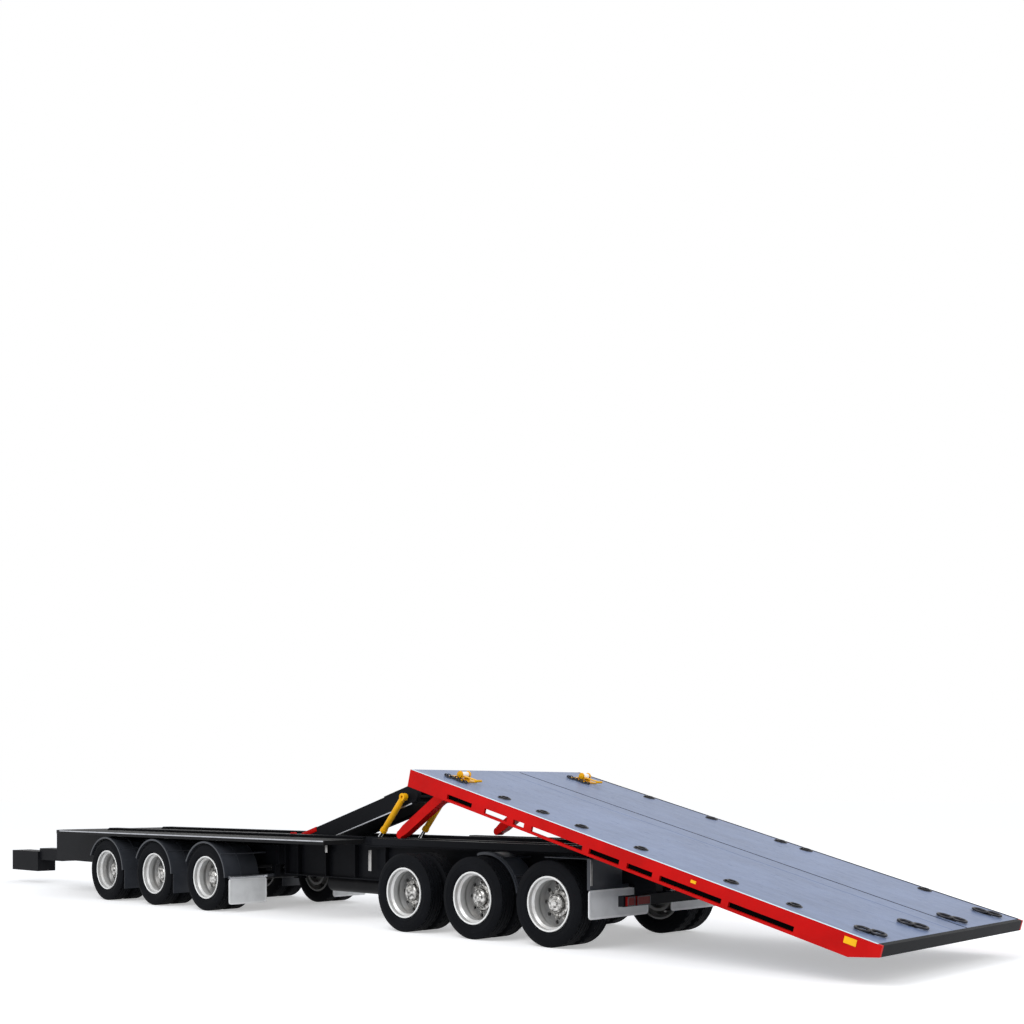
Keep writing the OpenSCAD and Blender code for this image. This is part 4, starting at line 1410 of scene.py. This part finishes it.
    def clamp(self, name: str, y: Sequence[float]) -> bpy.types.Object:
        """Shapes the bright cover on the bar over a flap, with its bolts.

        Args:
            name: Name of the piece.
            y: Ends across the trailer.

        Returns:
            The cover in place.
        """
        bench = Bench(name)
        x, z = self.bar
        radius, depth = self.bar_bolt
        width = y[1] - y[0]
        bench.block((self.bar_t, width, self.bar_h), (x - self.bar_t / 2, sum(y) / 2, z), 0.002)
        for index in range(self.bar_bolts):
            along = y[0] + width * (index + 0.5) / self.bar_bolts
            bench.turning(radius, depth, (x - self.bar_t - depth / 2, along, z), "X", 6, bevel=0.001)
        return bench.done(self.shop.places.chassis())

    def lift_edges(self) -> bpy.types.Object:
        """Shapes the pale edges below the lift frame's beams and the plate at its tip.

        Returns:
            The edges in place.
        """
        bench = Bench("lift_edges")
        for sign in SIGNS:
            bench.beside(self.lift_edge, sign)
        bench.block(*self.lift_tip)
        return bench.done(self.shop.places.lift())

    def leg_panels(self) -> bpy.types.Object:
        """Shapes the stiffening panels between the prop legs and their cross bar.

        Returns:
            The panels in place.
        """
        bench = Bench("leg_panels")
        for sign in SIGNS:
            bench.beside(self.leg_panel, sign)
            bench.pick(lambda _middle, normal: abs(normal.z) > bench.FACING)
            bench.press(self.panel_press)
        return bench.done(self.shop.places.legs())

    def posts(self) -> bpy.types.Object:
        """Shapes the pale posts and brackets on the beams and at the tail guards.

        Returns:
            The posts in place.
        """
        bench = Bench("pale_posts")
        for sign in SIGNS:
            for block in self.post_blocks:
                bench.beside(block, sign)
        return bench.done(self.shop.places.chassis())

    def lift_roots(self) -> bpy.types.Object:
        """Shapes the red caps over the lift frame's beams beside their hinge.

        Returns:
            The caps in place.
        """
        bench = Bench("lift_roots")
        for sign in SIGNS:
            bench.beside(self.lift_root, sign)
            bench.pick(lambda _middle, normal: normal.z > bench.FACING)
            bench.press(self.root_press)
        return bench.done(self.shop.places.lift())

    def turntable_bolts(self) -> bpy.types.Object:
        """Shapes the ring of bolts below the turntable's upper race.

        Returns:
            The bolts in place.
        """
        bench = Bench("turntable_bolts")
        radius, depth = self.table_bolt
        place = (self.table_x + self.table_circle, 0.0, self.table_bolt_z)
        bench.turning(radius, depth, place, "Z", 6, bevel=0.002)
        bench.around(self.table_bolts, (0.0, 0.0, 1.0), (self.table_x, 0.0, 0.0))
        return bench.done(self.shop.places.chassis())


def dress_nodes(frame: dict[str, Any], paints: Paints) -> None:
    """Gives every CAD node the finish of its slot.

    Args:
        frame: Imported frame.
        paints: Finishes by slot name.
    """
    for row in frame["record"]["subparts"]:
        node = frame["nodes"][row["node"]]
        node.data.materials.clear()
        node.data.materials.append(paints[row["material_slot"]])


def main() -> None:
    """Builds the trailer's looks in order."""
    logging.basicConfig(level=logging.INFO, format="%(name)s %(message)s")
    bpy.context.scene.view_settings.view_transform = "Standard"
    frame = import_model()
    slide = next(joint for joint in frame["joints"] if joint["name"] == "bed_slide")
    tilt = math.atan2(slide["axis"][2], slide["axis"][0])
    low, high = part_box("rims_r3_left")
    places = Places((low[0] + high[0]) / 2, tilt)
    paints = Paints(tilt)
    Studio(places.axle_x).build()
    dress_nodes(frame, paints)
    slots = frozenset(row["slot"] for row in frame["record"]["materials"])
    shop = Shop(paints, slots, places)
    for assembly in (Wheels(shop), DeckGear(shop), Trim(shop)):
        assembly.build()
    LOG.info("%d pieces added", len(shop.made))


if __name__ == "__main__":
    main()
